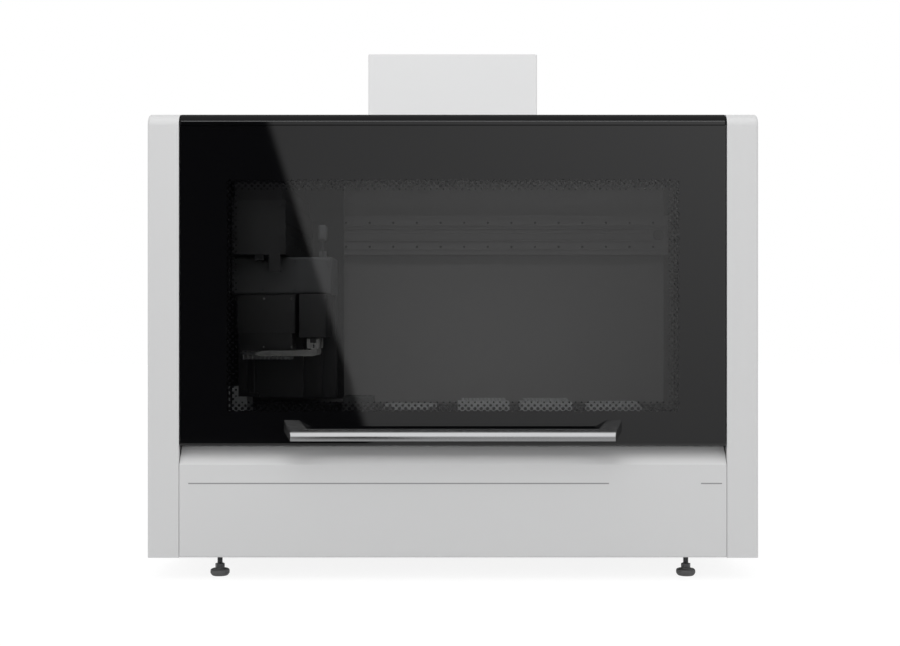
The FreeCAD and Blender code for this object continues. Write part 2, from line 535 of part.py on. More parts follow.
# Electronics tray on the base pan, with the power supply and the controller board
tray_sheet = box("electronics_sheet", ("supply_left - tray_border", "board_right + tray_border"),
                 ("front + tray_start", "front + tray_end"), ("pan_top", "pan_top + 2"))
supply = box("supply_case", ("supply_left", "supply_right"),
             ("front + supply_start", "front + tray_end - tray_border"),
             ("pan_top", "pan_top + supply_height"))
supply_fan = rod("supply_fan_hole", "y", "supply_right - 60",
                 ("front + supply_start - 1", "front + supply_start + 10"),
                 "pan_top + supply_height / 2 + 2", "fan_hole")
board_line = ("front + tray_start + tray_border", "front + tray_end - tray_border")
board = box("board_sheet", ("board_left", "board_right"), board_line,
            ("pan_top + board_lift", "pan_top + board_lift + 2"))
standoffs = []
for k, across in enumerate(("board_left", "board_right - standoff")):
    for end, line in (("front", board_line[0]), ("rear", board_line[1] + " - standoff")):
        standoffs.append(box(f"standoff_{end}_{k}", (across, f"{across} + standoff"),
                             (line, f"{line} + standoff"), ("pan_top", "pan_top + board_lift + 1")))
chips = [box(f"chip_{k}", (f"board_left + {k} * chip_pitch + chip_size", f"board_left + {k} * chip_pitch + 2 * chip_size"),
             ("front + tray_start + chip_pitch", "front + tray_start + chip_pitch + chip_size"),
             ("pan_top + board_lift + 1", "pan_top + board_lift + 2 + chip_height")) for k in range(3)]
keep(without("electronics", joined("electronics_set", [tray_sheet, supply, board] + standoffs + chips),
             [supply_fan]), "electronics_tray")

# Door: glass in a black frame with a cap, a sill, a handle, guide shoes and lift brackets
keep(box("glass_pane", ("-door_side", "door_side"), ("glass_front", "glass_rear"),
         ("glass_bottom", "glass_top")), "door_glass")

body = doc.addObject("PartDesign::Body", "door_cap_body")
place(body, "-door_side", "front", "case_top - cap_height")
carve(body, "cap_block", ("0", "2 * door_side"), ("0", "cap_depth"), ("0", "cap_height"), "Additive")
rounded(body, "cap_round", "front_round - 0.5",
        lambda bound: near(bound.YMax, 0) and near(bound.ZMin, size("cap_height")))
carve(body, "cap_hollow", ("sheet_metal", "2 * door_side - sheet_metal"),
      ("glass_recess + glass + sash_depth + 0.5", "cap_depth + 1"), ("-1", "cap_height - sheet_metal"))
keep(body, "door_top_cap")

sill = box("sill_bar", ("-door_side", "door_side"), ("front", "front + sill_depth"),
           ("door_bottom", "glass_bottom"))

sash = box("sash_blank", ("-door_side", "door_side"), ("glass_rear", "sash_rear"),
           ("glass_bottom", "case_top - cap_height"))
sash_light = box("sash_light", ("-window_width / 2", "window_width / 2"), ("glass_rear - 1", "sash_rear + 1"),
                 ("window_bottom", "window_top"))
keep(joined("sash_ring", [without("sash_border", sash, [sash_light]), sill]), "sash_frame")

# Handle: where the sloping side view and the shallow U seen from above meet
body = doc.addObject("PartDesign::Body", "door_handle")
place(body, "-handle_width / 2", "glass_front", "0")
slope = outline(body, "handle_side", "YZ_Plane", [
    ("0", "handle_bottom"), ("0", "handle_top"), ("-handle_reach - glass_recess", "bar_top"),
    ("-handle_reach - glass_recess", "bar_bottom")])
pad(body, "handle_slab", slope, "handle_width")
reach = "handle_reach + glass_recess"
inset = "(handle_width - bar_width) / 2"
grip = outline(body, "grip_opening", "XY_Plane", [
    ("arm_width", "1"), (f"arm_width + {inset}", f"-({reach}) + bar_depth"),
    (f"handle_width - arm_width - {inset}", f"-({reach}) + bar_depth"), ("handle_width - arm_width", "1")],
    "handle_top + 1")
pocket(body, "grip_cut", grip, "handle_top - bar_bottom + 2")
for name, edge in (("left", "0"), ("right", "handle_width")):
    sign = "" if name == "left" else "-"
    taper = outline(body, f"{name}_taper", "XY_Plane", [
        (edge, "0"), (f"{edge} + ({sign}1) * ({inset})", f"-({reach}) - 0.5"),
        (f"{edge} - ({sign}1) * 5", f"-({reach}) - 0.5"), (f"{edge} - ({sign}1) * 5", "0")], "handle_top + 1")
    pocket(body, f"{name}_taper_cut", taper, "handle_top - bar_bottom + 2")
front_line = -size("handle_reach") - size("glass_recess")
rounded(body, "handle_edges", "handle_round",
        lambda bound: bound.YMax < front_line + 0.01 and bound.XMax - bound.XMin > size("bar_width") / 2)
keep(body, "door_handle")

shoes = []
for name, side in (("left", -1), ("right", 1)):
    for end, level in (("lower", "lower_shoe"), ("upper", "upper_shoe")):
        height = (level, f"{level} + shoe_height")
        block = box(f"shoe_{name}_{end}", both(side, "guide_inner + guide_wall + slide_gap",
                                               "guide_outer - guide_wall - slide_gap"),
                    ("guide_front + guide_wall + slide_gap", "guide_rear - guide_wall - slide_gap"), height)
        neck = box(f"shoe_neck_{name}_{end}", both(side, "door_side", "guide_inner + guide_wall + 2"),
                   ("guide_front + guide_depth / 2 - shoe_neck / 2",
                    "guide_front + guide_depth / 2 + shoe_neck / 2"), height)
        shoes.append(joined(f"shoe_pair_{name}_{end}", [block, neck]))
keep(group("shoes", shoes), "sash_guide_shoes")

rods = []
bracket = ("lift_bracket", "lift_bracket + bracket_height")
for name, side in (("left", -1), ("right", 1)):
    block = box(f"lift_block_{name}", both(side, "door_side - 13", "door_side - 2"),
                ("sash_rear", "front + 42"), bracket)
    arm = box(f"lift_arm_{name}", both(side, "door_side - 13", "guide_outer - 4"),
              ("front + 37", "front + 58"), bracket)
    bar = rod(f"lift_rod_{name}", "z", f"{side} * spring_side", "spring_line",
              ("rod_start", "lift_bracket + 2"), "rod_radius")
    rods.append(joined(f"lift_{name}", [block, arm, bar]))
keep(group("lifts", rods), "gas_spring_rods")

springs = []
guides = []
for name, side in (("left", -1), ("right", 1)):
    cylinder = rod(f"spring_tube_{name}", "z", f"{side} * spring_side", "spring_line",
                   ("base_top", "lift_bracket - 5"), "spring_radius")
    bore = rod(f"spring_bore_{name}", "z", f"{side} * spring_side", "spring_line",
               ("rod_start - 3", "lift_bracket"), "spring_bore")
    springs.append(without(f"spring_{name}", cylinder, [bore]))
    level = ("guide_bottom", "guide_top")
    channel = box(f"guide_{name}", both(side, "guide_inner", "guide_outer"),
                  ("guide_front", "guide_rear"), level)
    foot = box(f"guide_foot_{name}", both(side, "guide_outer - guide_wall", "guide_outer + guide_foot"),
               ("guide_rear - guide_wall", "frame_front - fit"), level)
    hollow = box(f"guide_hollow_{name}", both(side, "guide_inner + guide_wall", "guide_outer - guide_wall"),
                 ("guide_front + guide_wall", "guide_rear - guide_wall"),
                 ("guide_bottom - 1", "guide_top + 1"))
    slot = box(f"guide_slot_{name}", both(side, "guide_inner - 1", "guide_inner + guide_wall + 1"),
               ("guide_front + guide_depth / 2 - guide_slot / 2", "guide_front + guide_depth / 2 + guide_slot / 2"),
               ("guide_bottom - 1", "guide_top + 1"))
    guides.append(without(f"guide_cut_{name}", joined(f"guide_body_{name}", [channel, foot]), [hollow, slot]))
keep(group("springs", springs), "gas_spring_tubes")
keep(group("guide_pair", guides), "sash_guides")

# Chamber walls, lamp and deck
walls = [box(f"{name}_wall", both(side, "chamber_side", "chamber_side + wall_sheet"),
             ("wall_front", "back_face"), ("wall_foot", "top_rail_bottom"))
         for name, side in (("left", -1), ("right", 1))]
keep(group("walls", walls), "chamber_side_walls")
back = box("back_sheet", ("-inner_side", "inner_side"), ("back_face", "back_face + back_wall"),
           ("wall_foot", "top_rail_bottom"))
drive_hole = rod("drive_hole", "y", "pulley_side", ("back_face - 1", "back_face + back_wall + 1"),
                 "beam_middle", "shaft_hole")
keep(without("back_cut", back, [drive_hole]), "chamber_rear_wall")
keep(box("lamp_body", ("-lamp_length / 2", "lamp_length / 2"),
         ("wall_front + lamp_start", "wall_front + lamp_start + lamp_depth"),
         ("top_rail_bottom - lamp_height", "top_rail_bottom")), "chamber_lamp")

deck_line = ("front + deck_start", "front + deck_end")
duct_line = ("front + duct_start", "front + deck_end")
deck = box("deck_sheet", ("-deck_side", "deck_side"), deck_line, ("deck_under", "deck_top"))
duct = box("duct_outside", ("-deck_side", "deck_side"), duct_line, ("deck_top", "deck_top + duct_height"))
duct_space = box("duct_inside", ("-deck_side - 1", "deck_side + 1"),
                 (f"{duct_line[0]} + duct_wall", f"{duct_line[1]} - duct_wall"),
                 ("deck_top", "deck_top + duct_height - duct_wall"))
waste_span = ("waste_left + waste_lip", "waste_right - waste_lip")
waste_line = ("front + waste_start + waste_lip", "front + waste_end - waste_lip")
through_deck = ("deck_under - 1", "deck_top + 1")
waste_hole = box("waste_hole", (f"{waste_span[0]} - fit", f"{waste_span[1]} + fit"),
                 (f"{waste_line[0]} - fit", f"{waste_line[1]} + fit"), through_deck)


def around(across, along, length, width):
    """The spans of a rectangle about a middle."""
    return ((f"{across} - ({length}) / 2", f"{across} + ({length}) / 2"),
            (f"{along} - ({width}) / 2", f"{along} + ({width}) / 2"))


def station(column, row):
    """The middle of a plate position."""
    return f"({column} - 2.5) * column_pitch", f"front + first_row + {row} * row_pitch"


nest_holes = []
nests = []
for column in range(6):
    for row in range(4):
        if (column, row) in ((0, 3), (1, 3), (2, 3)):
            continue
        middle = station(column, row)
        name = f"{column}_{row}"
        nest_holes.append(box(f"nest_hole_{name}", *around(*middle, "hole_length", "hole_width"), through_deck))
        outside = box(f"nest_{name}", *around(*middle, "plate_length + 2 * nest_border",
                                              "plate_width + 2 * nest_border"), ("deck_top", "nest_top"))
        seat = box(f"nest_seat_{name}", *around(*middle, "plate_length + 2 * nest_fit",
                                                "plate_width + 2 * nest_fit"), ("nest_seat", "nest_top + 1"))
        relief = box(f"nest_relief_{name}", *around(*middle, "plate_length - 2 * nest_ledge",
                                                    "plate_width - 2 * nest_ledge"),
                     ("deck_top - 1", "nest_top + 1"))
        nests.append(without(f"nest_ring_{name}", outside, [seat, relief]))
keep(joined("deck_set", [without("deck_cut", deck, [waste_hole] + nest_holes),
                         without("duct", duct, [duct_space])]), "deck_plate")

# The rear row holds a shaker with a pocket for a plate, and a tall heating block
rear_line = station(2, 3)[1]
shaker_span, shaker_line = around("shaker_plate", rear_line, "shaker_right - shaker_left",
                                  "plate_width + 2 * nest_border")
shaker = box("shaker_case", shaker_span, shaker_line, ("deck_top", "shaker_top"))
shaker_pocket = box("shaker_pocket", *around("shaker_plate", rear_line, "plate_length + 2 * nest_fit",
                                             "plate_width + 2 * nest_fit"), ("shaker_seat", "shaker_top + 1"))
nests.append(without("shaker", shaker, [shaker_pocket]))
nests.append(box("heating_block", ("block_left", "block_right"), shaker_line, ("deck_top", "block_top")))
keep(group("nests", nests), "deck_nests")

bin_lip = box("waste_rim", ("waste_left", "waste_right"), ("front + waste_start", "front + waste_end"),
              ("deck_top", "deck_top + 2"))
bin_body = box("waste_body", waste_span, waste_line, ("waste_bottom", "waste_top"))
bin_hollow = box("waste_hollow", (f"{waste_span[0]} + waste_wall", f"{waste_span[1]} - waste_wall"),
                 (f"{waste_line[0]} + waste_wall", f"{waste_line[1]} - waste_wall"),
                 ("waste_bottom + waste_wall", "waste_top + 1"))
keep(without("waste_cut", joined("waste_shell", [bin_lip, bin_body]), [bin_hollow]), "waste_bin")


def tapered(name, middle, seat, height, draw):
    """Labware with the standard footprint whose four sides lean in by draw."""
    item = doc.addObject("Part::Wedge", name)
    item.Placement = FreeCAD.Placement(Vector(), Rotation(Vector(1, 0, 0), 90))
    place(item, *middle, seat)
    bind(item, Xmin="-plate_length / 2", Xmax="plate_length / 2", Ymin="0", Ymax=height,
         Zmin="-plate_width / 2", Zmax="plate_width / 2", X2min=f"-plate_length / 2 + {draw}",
         X2max=f"plate_length / 2 - {draw}", Z2min=f"-plate_width / 2 + {draw}",
         Z2max=f"plate_width / 2 - {draw}")
    return item


tip_racks = [tapered(f"tip_rack_{column}_{row}", station(column, row), "nest_seat", "rack_height", "rack_draw")
             for column, row in ((3, 3), (4, 3), (5, 2))]
keep(group("tip_rack_set", tip_racks), "tip_racks")
microplates = [tapered(f"microplate_{column}_{row}", station(column, row), "nest_seat", "plate_height", "plate_draw")
               for column, row in ((0, 0), (1, 0), (4, 1), (5, 0))]
microplates += [tapered(f"deep_plate_{column}", station(column, 0), "nest_seat", "deep_height", "plate_draw")
                for column in (2, 3)]
microplates.append(tapered("shaker_microplate", ("shaker_plate", rear_line), "shaker_seat", "plate_height",
                           "plate_draw"))
keep(group("microplate_set", microplates), "microplates")

# X beam with slots along its faces, its two rails, the belt, two pulleys and the drive motor
body = doc.addObject("PartDesign::Body", "beam_body")
place(body, "-beam_end", "beam_front", "beam_bottom")
carve(body, "beam_solid", ("0", "2 * beam_end"), ("0", "beam_depth"), ("0", "beam_height"), "Additive")
carve(body, "beam_core", ("-1", "2 * beam_end + 1"), ("beam_slot + beam_wall", "beam_depth - beam_wall"),
      ("beam_slot + beam_wall", "beam_height - beam_slot - beam_wall"))
for name, level in (("lower", ("-1", "beam_slot")), ("upper", ("beam_height - beam_slot", "beam_height + 1"))):
    carve(body, f"{name}_beam_slot", ("-1", "2 * beam_end + 1"),
          ("beam_depth / 2 - beam_slot / 2", "beam_depth / 2 + beam_slot / 2"), level)
carve(body, "front_beam_slot", ("-1", "2 * beam_end + 1"), ("-1", "beam_slot - 2"),
      ("beam_height / 2 - beam_slot / 2", "beam_height / 2 + beam_slot / 2"))
shafts = [rod(f"beam_shaft_hole_{name}", "y", f"{side} * pulley_side",
              ("beam_front - 1", "beam_front + 30" if side < 0 else "back_face + 1"), "beam_middle",
              "shaft_hole")
          for name, side in (("left", -1), ("right", 1))]
keep(without("beam_cut", body, shafts), "x_beam")

rails = [box(f"x_rail_{name}", ("-rail_end", "rail_end"), ("rail_front", "beam_front"), level)
         for name, level in (("lower", ("beam_bottom + rail_inset", "beam_bottom + rail_inset + rail_height")),
                             ("upper", ("beam_top - rail_inset - rail_height", "beam_top - rail_inset")))]
keep(group("x_rail_pair", rails), "x_rails")


def stadium(name, radius, y):
    """A flat race track shape between the two pulley centres."""
    bar = box(f"{name}_run", ("-pulley_side", "pulley_side"), y,
              (f"beam_middle - {radius}", f"beam_middle + {radius}"))
    ends = [rod(f"{name}_end_{k}", "y", f"{side} * pulley_side", y, "beam_middle", radius)
            for k, side in enumerate((-1, 1))]
    return joined(name, [bar] + ends)


belt_outside = stadium("belt_outside", "(pulley_radius + belt)", ("belt_front", "belt_rear"))
belt_inside = stadium("belt_inside", "(pulley_radius)", ("belt_front - 1", "belt_rear + 1"))
keep(without("belt_loop", belt_outside, [belt_inside]), "x_belt")
for name, side in (("idler", -1), ("drive", 1)):
    wheel = rod(f"{name}_wheel", "y", f"{side} * pulley_side", ("belt_front", "belt_rear"), "beam_middle",
                "pulley_radius - fit")
    shaft = rod(f"{name}_shaft", "y", f"{side} * pulley_side",
                ("belt_rear - 1", "beam_front + 28" if side < 0 else "back_face + back_wall + 30"),
                "beam_middle", "shaft_radius")
    keep(joined(f"x_{name}", [wheel, shaft]), f"x_{name}_pulley")
motor_body = box("x_motor_case", ("pulley_side - x_motor / 2", "pulley_side + x_motor / 2"),
                 ("back_face + back_wall", "back_face + back_wall + x_motor"),
                 ("beam_middle - x_motor / 2", "beam_middle + x_motor / 2"))
motor_bore = rod("x_motor_bore", "y", "pulley_side", ("back_face + back_wall - 1", "back_face + back_wall + 32"),
                 "beam_middle", "shaft_radius + turn_gap")
keep(without("x_motor_cut", motor_body, [motor_bore]), "x_drive_motor")

# X carriage: a saddle with four runners, the arm that it carries, and a cover sheet across it
saddle = box("saddle_sheet", ("saddle_left", "saddle_right"), ("saddle_front", "saddle_rear"),
             ("beam_bottom - saddle_over", "beam_top + saddle_over"))
runners = []
for name, level in (("lower", "beam_bottom + rail_inset"), ("upper", "beam_top - rail_inset - rail_height")):
    for end, start in (("left", "saddle_left + runner_inset"),
                       ("right", "saddle_right - runner_inset - runner_length")):
        block = box(f"x_runner_{name}_{end}", (start, f"{start} + runner_length"),
                    ("saddle_rear", "beam_front - belt_gap"),
                    (f"{level} - runner_cheek", f"{level} + rail_height + runner_cheek"))
        groove = box(f"x_runner_groove_{name}_{end}", (f"{start} - 1", f"{start} + runner_length + 1"),
                     ("rail_front - slide_gap", "beam_front"),
                     (f"{level} - slide_gap", f"{level} + rail_height + slide_gap"))
        runners.append(without(f"x_runner_cut_{name}_{end}", block, [groove]))
clamp = box("belt_clamp", ("saddle_left + clamp_inset", "saddle_right - clamp_inset"), ("saddle_rear", "belt_rear"),
            ("beam_middle - 8", "beam_middle + pulley_radius - fit"))
cover = box("cover_sheet_blank", ("cover_left", "cover_right"), ("saddle_front", "saddle_front + cover_sheet"),
            ("cover_bottom", "cover_top"))
motor_window = box("motor_window", ("y_screw_side - motor / 2 - fit", "y_screw_side + motor / 2 + fit"),
                   ("saddle_front - 1", "saddle_front + cover_sheet + 1"),
                   ("y_screw_height - motor / 2 + 3 - fit", "arm_bottom"))
keep(joined("saddle", [saddle, clamp, without("cover", cover, [motor_window])] + runners), "x_carriage")

body = doc.addObject("PartDesign::Body", "y_arm")
place(body, "arm_left", "arm_front", "arm_bottom")
section = outline(body, "arm_section_sketch", "XZ_Plane", [
    ("0", "0"), ("0", "arm_section_height * 0.4"), ("3", "arm_section_height * 0.4 + 3"),
    ("3", "arm_section_height * 0.6 - 3"), ("0", "arm_section_height * 0.6"), ("0", "arm_section_height"),
    ("arm_section", "arm_section_height"), ("arm_section", "arm_section_height * 0.6"),
    ("arm_section - 3", "arm_section_height * 0.6 - 3"), ("arm_section - 3", "arm_section_height * 0.4 + 3"),
    ("arm_section", "arm_section_height * 0.4"), ("arm_section", "0")])
pad(body, "arm_beam", section, "saddle_front - arm_front", True)
carve(body, "arm_core", ("arm_wall + 3", "arm_section - arm_wall - 3"),
      ("-1", "saddle_front - arm_front + 1"), ("arm_wall", "arm_section_height - arm_wall"))
keep(body, "y_arm")
cap = box("arm_cap_block", ("arm_left", "arm_right"), ("arm_front - arm_cap", "arm_front"),
          ("arm_bottom", "arm_top"))
tray_outside = box("tray_outside", ("arm_left + tray_inset", "arm_right - tray_inset"),
                   ("arm_front", "saddle_front - 20"), ("arm_top", "arm_top + tray_height"))
tray_inside = box("tray_inside", ("arm_left + tray_inset + tray_wall", "arm_right - tray_inset - tray_wall"),
                  ("arm_front + tray_wall", "saddle_front - 19"), ("arm_top + tray_wall", "arm_top + tray_height + 1"))
keep(without("tray", tray_outside, [tray_inside]), "cable_tray")
keep(box("y_rail_bar", ("arm_centre - y_rail_width / 2", "arm_centre + y_rail_width / 2"),
         ("arm_front + bearing", "saddle_front - 8"), ("y_rail_bottom", "arm_bottom")), "y_rail")
bearing_block = box("y_bearing", ("y_screw_side - bearing", "y_screw_side + bearing"),
                    ("arm_front - arm_cap", "arm_front + bearing"), ("y_screw_height - bearing", "arm_bottom"))
bearing_bore = rod("y_bearing_bore", "y", "y_screw_side", ("arm_front + 2", "arm_front + bearing + 1"),
                   "y_screw_height", "screw_radius + turn_gap")
keep(without("y_cap_cut", joined("y_cap", [cap, bearing_block]), [bearing_bore]), "y_arm_end_cap")
y_motor = box("y_motor_case", ("y_screw_side - motor / 2", "y_screw_side + motor / 2"),
              ("saddle_front - 7", "beam_front + 50"), ("y_screw_height - motor / 2 + 3", "arm_bottom"))
y_motor_bore = rod("y_motor_bore", "y", "y_screw_side", ("saddle_front - 8", "saddle_front + 12"),
                   "y_screw_height", "screw_radius + turn_gap")
keep(without("y_motor_cut", y_motor, [y_motor_bore]), "y_drive_motor")
keep(rod("y_screw_bar", "y", "y_screw_side", ("arm_front + 3", "saddle_front + 10"), "y_screw_height",
         "screw_radius"), "y_screw")

# Y carriage: a housing that hangs on the arm rail, with the plates for the head and the gripper
body = doc.addObject("PartDesign::Body", "housing_body")
place(body, "housing_left", "housing_front", "housing_bottom")
carve(body, "housing_block", ("0", "housing_right - housing_left"), ("0", "housing_length"),
      ("0", "housing_top - housing_bottom"), "Additive")
rounded(body, "housing_edges", "housing_round", lambda bound: near(bound.YMax, 0))
rail_channel = box("rail_channel", ("arm_centre - y_rail_width / 2 - slide_gap",
                                    "arm_centre + y_rail_width / 2 + slide_gap"),
                   ("housing_front - 1", "housing_rear + 1"), ("y_rail_bottom - slide_gap", "housing_top + 1"))
screw_channel = rod("screw_channel", "y", "y_screw_side", ("housing_front - 1", "housing_rear + 1"),
                    "y_screw_height", "screw_radius + turn_gap")
z_screw_top = rod("z_screw_pocket", "z", "z_screw_side", "z_screw_line",
                  ("housing_bottom - 1", "housing_bottom + 16"), "z_screw_radius + turn_gap")
keep(without("housing", body, [rail_channel, screw_channel, z_screw_top]), "carriage_housing")

back_sheet = box("head_back_sheet", ("back_left", "back_right"), ("back_front", "back_front + back_plate"),
                 ("back_bottom", "housing_bottom"))
z_rail = box("z_rail", ("z_rail_side - z_rail_width / 2", "z_rail_side + z_rail_width / 2"),
             ("back_front - z_rail_depth", "back_front"), ("back_bottom + 10", "housing_bottom"))
z_bearing_block = box("z_bearing_block", ("z_screw_side - z_bearing", "z_screw_side + z_bearing"),
                      ("z_screw_line - 8", "back_front"), ("back_bottom", "back_bottom + z_bearing"))
z_bearing_bore = rod("z_bearing_bore", "z", "z_screw_side", "z_screw_line",
                     ("back_bottom + 2", "back_bottom + z_bearing + 1"), "z_screw_radius + turn_gap")
keep(without("head_back", joined("head_back_blank", [back_sheet, z_rail, z_bearing_block]), [z_bearing_bore]),
     "head_backplate")
keep(rod("z_screw_bar", "z", "z_screw_side", "z_screw_line", ("back_bottom + 3", "housing_bottom + 15"),
         "z_screw_radius"), "z_screw")
column_sheet = box("grip_column", ("column_left", "column_right"),
                   ("front + column_start", "front + column_start + column_depth"),
                   ("column_bottom", "housing_bottom"))
grip_rail = box("grip_rail", ("grip_rail_side - grip_rail_width / 2", "grip_rail_side + grip_rail_width / 2"),
                ("front + column_start - grip_rail_depth", "front + column_start"),
                ("column_bottom + 8", "housing_bottom"))
keep(joined("grip_column_set", [column_sheet, grip_rail]), "gripper_column")

# Nozzle head: a housing open at the back, with a plunger plate on two pillars inside it
body = doc.addObject("PartDesign::Body", "head_body")
place(body, "head_centre - head_width / 2", "head_front", "head_bottom")
carve(body, "head_block", ("0", "head_width"), ("0", "head_depth"), ("0", "head_height"), "Additive")
rounded(body, "head_edges", "head_round",
        lambda bound: near(bound.YMax, 0) and bound.ZMax > 1)
carve(body, "head_cavity", ("head_wall", "head_width - head_wall"), ("head_wall", "head_depth + 1"),
      ("cavity_floor", "cavity_floor + cavity_height"))
pillar_places = [f"head_centre + {side} * (head_width / 2 - head_wall - 9)" for side in (-1, 1)]
cavity_top = "head_bottom + cavity_floor + cavity_height"
pillars = [rod(f"pillar_{k}", "z", across, "head_line", ("head_bottom + cavity_floor - 1", f"{cavity_top} + 1"),
               "pillar_radius") for k, across in enumerate(pillar_places)]
barrel_span, barrel_line = around("head_centre", "head_line", "barrel_width", "barrel_depth")
barrel = box("barrel_block", barrel_span, barrel_line, ("barrel_bottom", "head_bottom"))
runner_span = ("z_rail_side - runner_width / 2", "z_rail_side + runner_width / 2")
runner_level = ("head_bottom + runner_foot", "head_bottom + runner_foot + runner_height")
flange = box("runner_flange", (runner_span[0], "z_screw_side + z_bearing"),
             ("head_rear", "head_rear + runner_plate"), runner_level)
runner_line = ("head_rear + runner_plate", "back_front - 3")
runner = box("z_runner", runner_span, runner_line, runner_level)
nut = box("z_nut", ("z_screw_side - z_bearing", "z_screw_side + z_bearing"), runner_line,
          ("head_bottom + 20", "head_bottom + 50"))
runner_groove = box("z_runner_groove", ("z_rail_side - z_rail_width / 2 - slide_gap",
                                        "z_rail_side + z_rail_width / 2 + slide_gap"),
                    ("back_front - z_rail_depth - slide_gap", "back_front"),
                    ("head_bottom", "head_top"))
nut_bore = rod("z_nut_bore", "z", "z_screw_side", "z_screw_line", ("head_bottom", "head_top"),
               "z_screw_radius + turn_gap")
keep(without("head_cut", joined("head_blank", [body, barrel, flange, runner, nut] + pillars),
             [runner_groove, nut_bore]), "head_housing")

# The 96 nozzles stand in a grid of twelve by eight
nozzles = []
for column in range(int(size("nozzle_columns"))):
    for row in range(int(size("nozzle_rows"))):
        nozzles.append(prism(f"nozzle_{column}_{row}", 6,
                             f"head_centre + ({column} - (nozzle_columns - 1) / 2) * nozzle_pitch",
                             f"head_line + ({row} - (nozzle_rows - 1) / 2) * nozzle_pitch",
                             ("nozzle_end", "barrel_bottom"), "nozzle_radius"))
keep(group("nozzle_grid", nozzles), "nozzles")

# The ejector plate slides down the nozzles and pushes the tips off
stripper = box("stripper_sheet", barrel_span, barrel_line,
               ("barrel_bottom - ejector_drop - ejector_plate", "barrel_bottom - ejector_drop"))
slots = [box(f"stripper_slot_{row}",
             *around("head_centre", f"(head_line + ({row} - (nozzle_rows - 1) / 2) * nozzle_pitch)",
                     "(nozzle_columns - 1) * nozzle_pitch + 2 * (nozzle_radius + nozzle_gap)",
                     "2 * (nozzle_radius + nozzle_gap)"),
             ("barrel_bottom - 20", "barrel_bottom"))
         for row in range(int(size("nozzle_rows")))]
keep(without("stripper", stripper, slots), "tip_ejector_plate")

plunger = box("plunger_sheet",
              *around("head_centre", "head_line", "head_width - 2 * head_wall - 2", "plunger_depth"),
              (f"{cavity_top} - plunger_plate - fit", f"{cavity_top} - fit"))
plunger_bores = [rod(f"plunger_bore_{k}", "z", across, "head_line", ("head_bottom", "head_top"),
                     "pillar_radius + turn_gap") for k, across in enumerate(pillar_places)]
keep(without("plunger", plunger, plunger_bores), "plunger_plate")

# Gripper module on its own rail, with two jaws on a cross rail underneath
module = box("module_block", ("module_left", "module_right"), ("front + module_start", "front + module_end"),
             ("module_bottom", "module_top"))
grip_runner = box("grip_runner", ("grip_rail_side - grip_runner / 2", "grip_rail_side + grip_runner / 2"),
                  ("front + module_end", "front + column_start - 3"), ("module_bottom + 10", "module_top - 10"))
grip_groove = box("grip_groove", ("grip_rail_side - grip_rail_width / 2 - slide_gap",
                                  "grip_rail_side + grip_rail_width / 2 + slide_gap"),
                  ("front + column_start - grip_rail_depth - slide_gap", "front + column_start"),
                  ("module_bottom", "module_top"))
jaw_rail = box("jaw_rail", ("jaw_middle - jaw_rail_width / 2", "jaw_middle + jaw_rail_width / 2"),
               ("front + jaw_rail_start", "front + jaw_rail_end"),
               ("module_bottom - jaw_rail_height", "module_bottom"))
keep(without("module_cut", joined("module_set", [module, grip_runner, jaw_rail]), [grip_groove]),
     "gripper_module")

# Each finger is a flat blade with a leg in front of its jaw block
for name, side in (("front", -1), ("rear", 1)):
    face = f"(head_line + {side} * grip_open / 2)"
    blade = (f"{face} - finger_thick", face) if side < 0 else (face, f"{face} + finger_thick")
    inboard = (face, f"{face} + jaw_block") if side < 0 else (f"{face} - jaw_block", face)
    block = box(f"jaw_block_{name}", ("jaw_middle - jaw_width / 2", "jaw_middle + jaw_width / 2"), inboard,
                ("jaw_top - jaw_height", "jaw_top"))
    groove = box(f"jaw_groove_{name}", ("jaw_middle - jaw_rail_width / 2 - slide_gap",
                                        "jaw_middle + jaw_rail_width / 2 + slide_gap"),
                 (f"{inboard[0]} - 1", f"{inboard[1]} + 1"),
                 ("module_bottom - jaw_rail_height - slide_gap", "jaw_top + 1"))
    body = doc.addObject("PartDesign::Body", f"finger_{name}_body")
    place(body, "0", blade[0], "0")
    blade_shape = outline(body, f"finger_{name}_outline", "XZ_Plane", [
        ("finger_left", "finger_bottom + 3"), ("finger_left + 8", "finger_bottom"),
        ("leg_right - bend", "finger_bottom"), ("leg_right - bend * 0.3", "finger_bottom + bend * 0.3"),
        ("leg_right", "finger_bottom + bend"), ("leg_right", "leg_top"), ("leg_right - leg_width", "leg_top"),
        ("leg_right - leg_width", "finger_bottom + bar_height + 3"),
        ("leg_right - leg_width - 3", "finger_bottom + bar_height"),
        ("finger_left + tip_draw", "finger_bottom + bar_height"),
        ("finger_left", "finger_bottom + bar_height - 5")])
    pad(body, f"finger_{name}_blade", blade_shape, "finger_thick", True)
    keep(joined(f"finger_{name}_set", [without(f"jaw_{name}", block, [groove]), body]), f"{name}_finger")

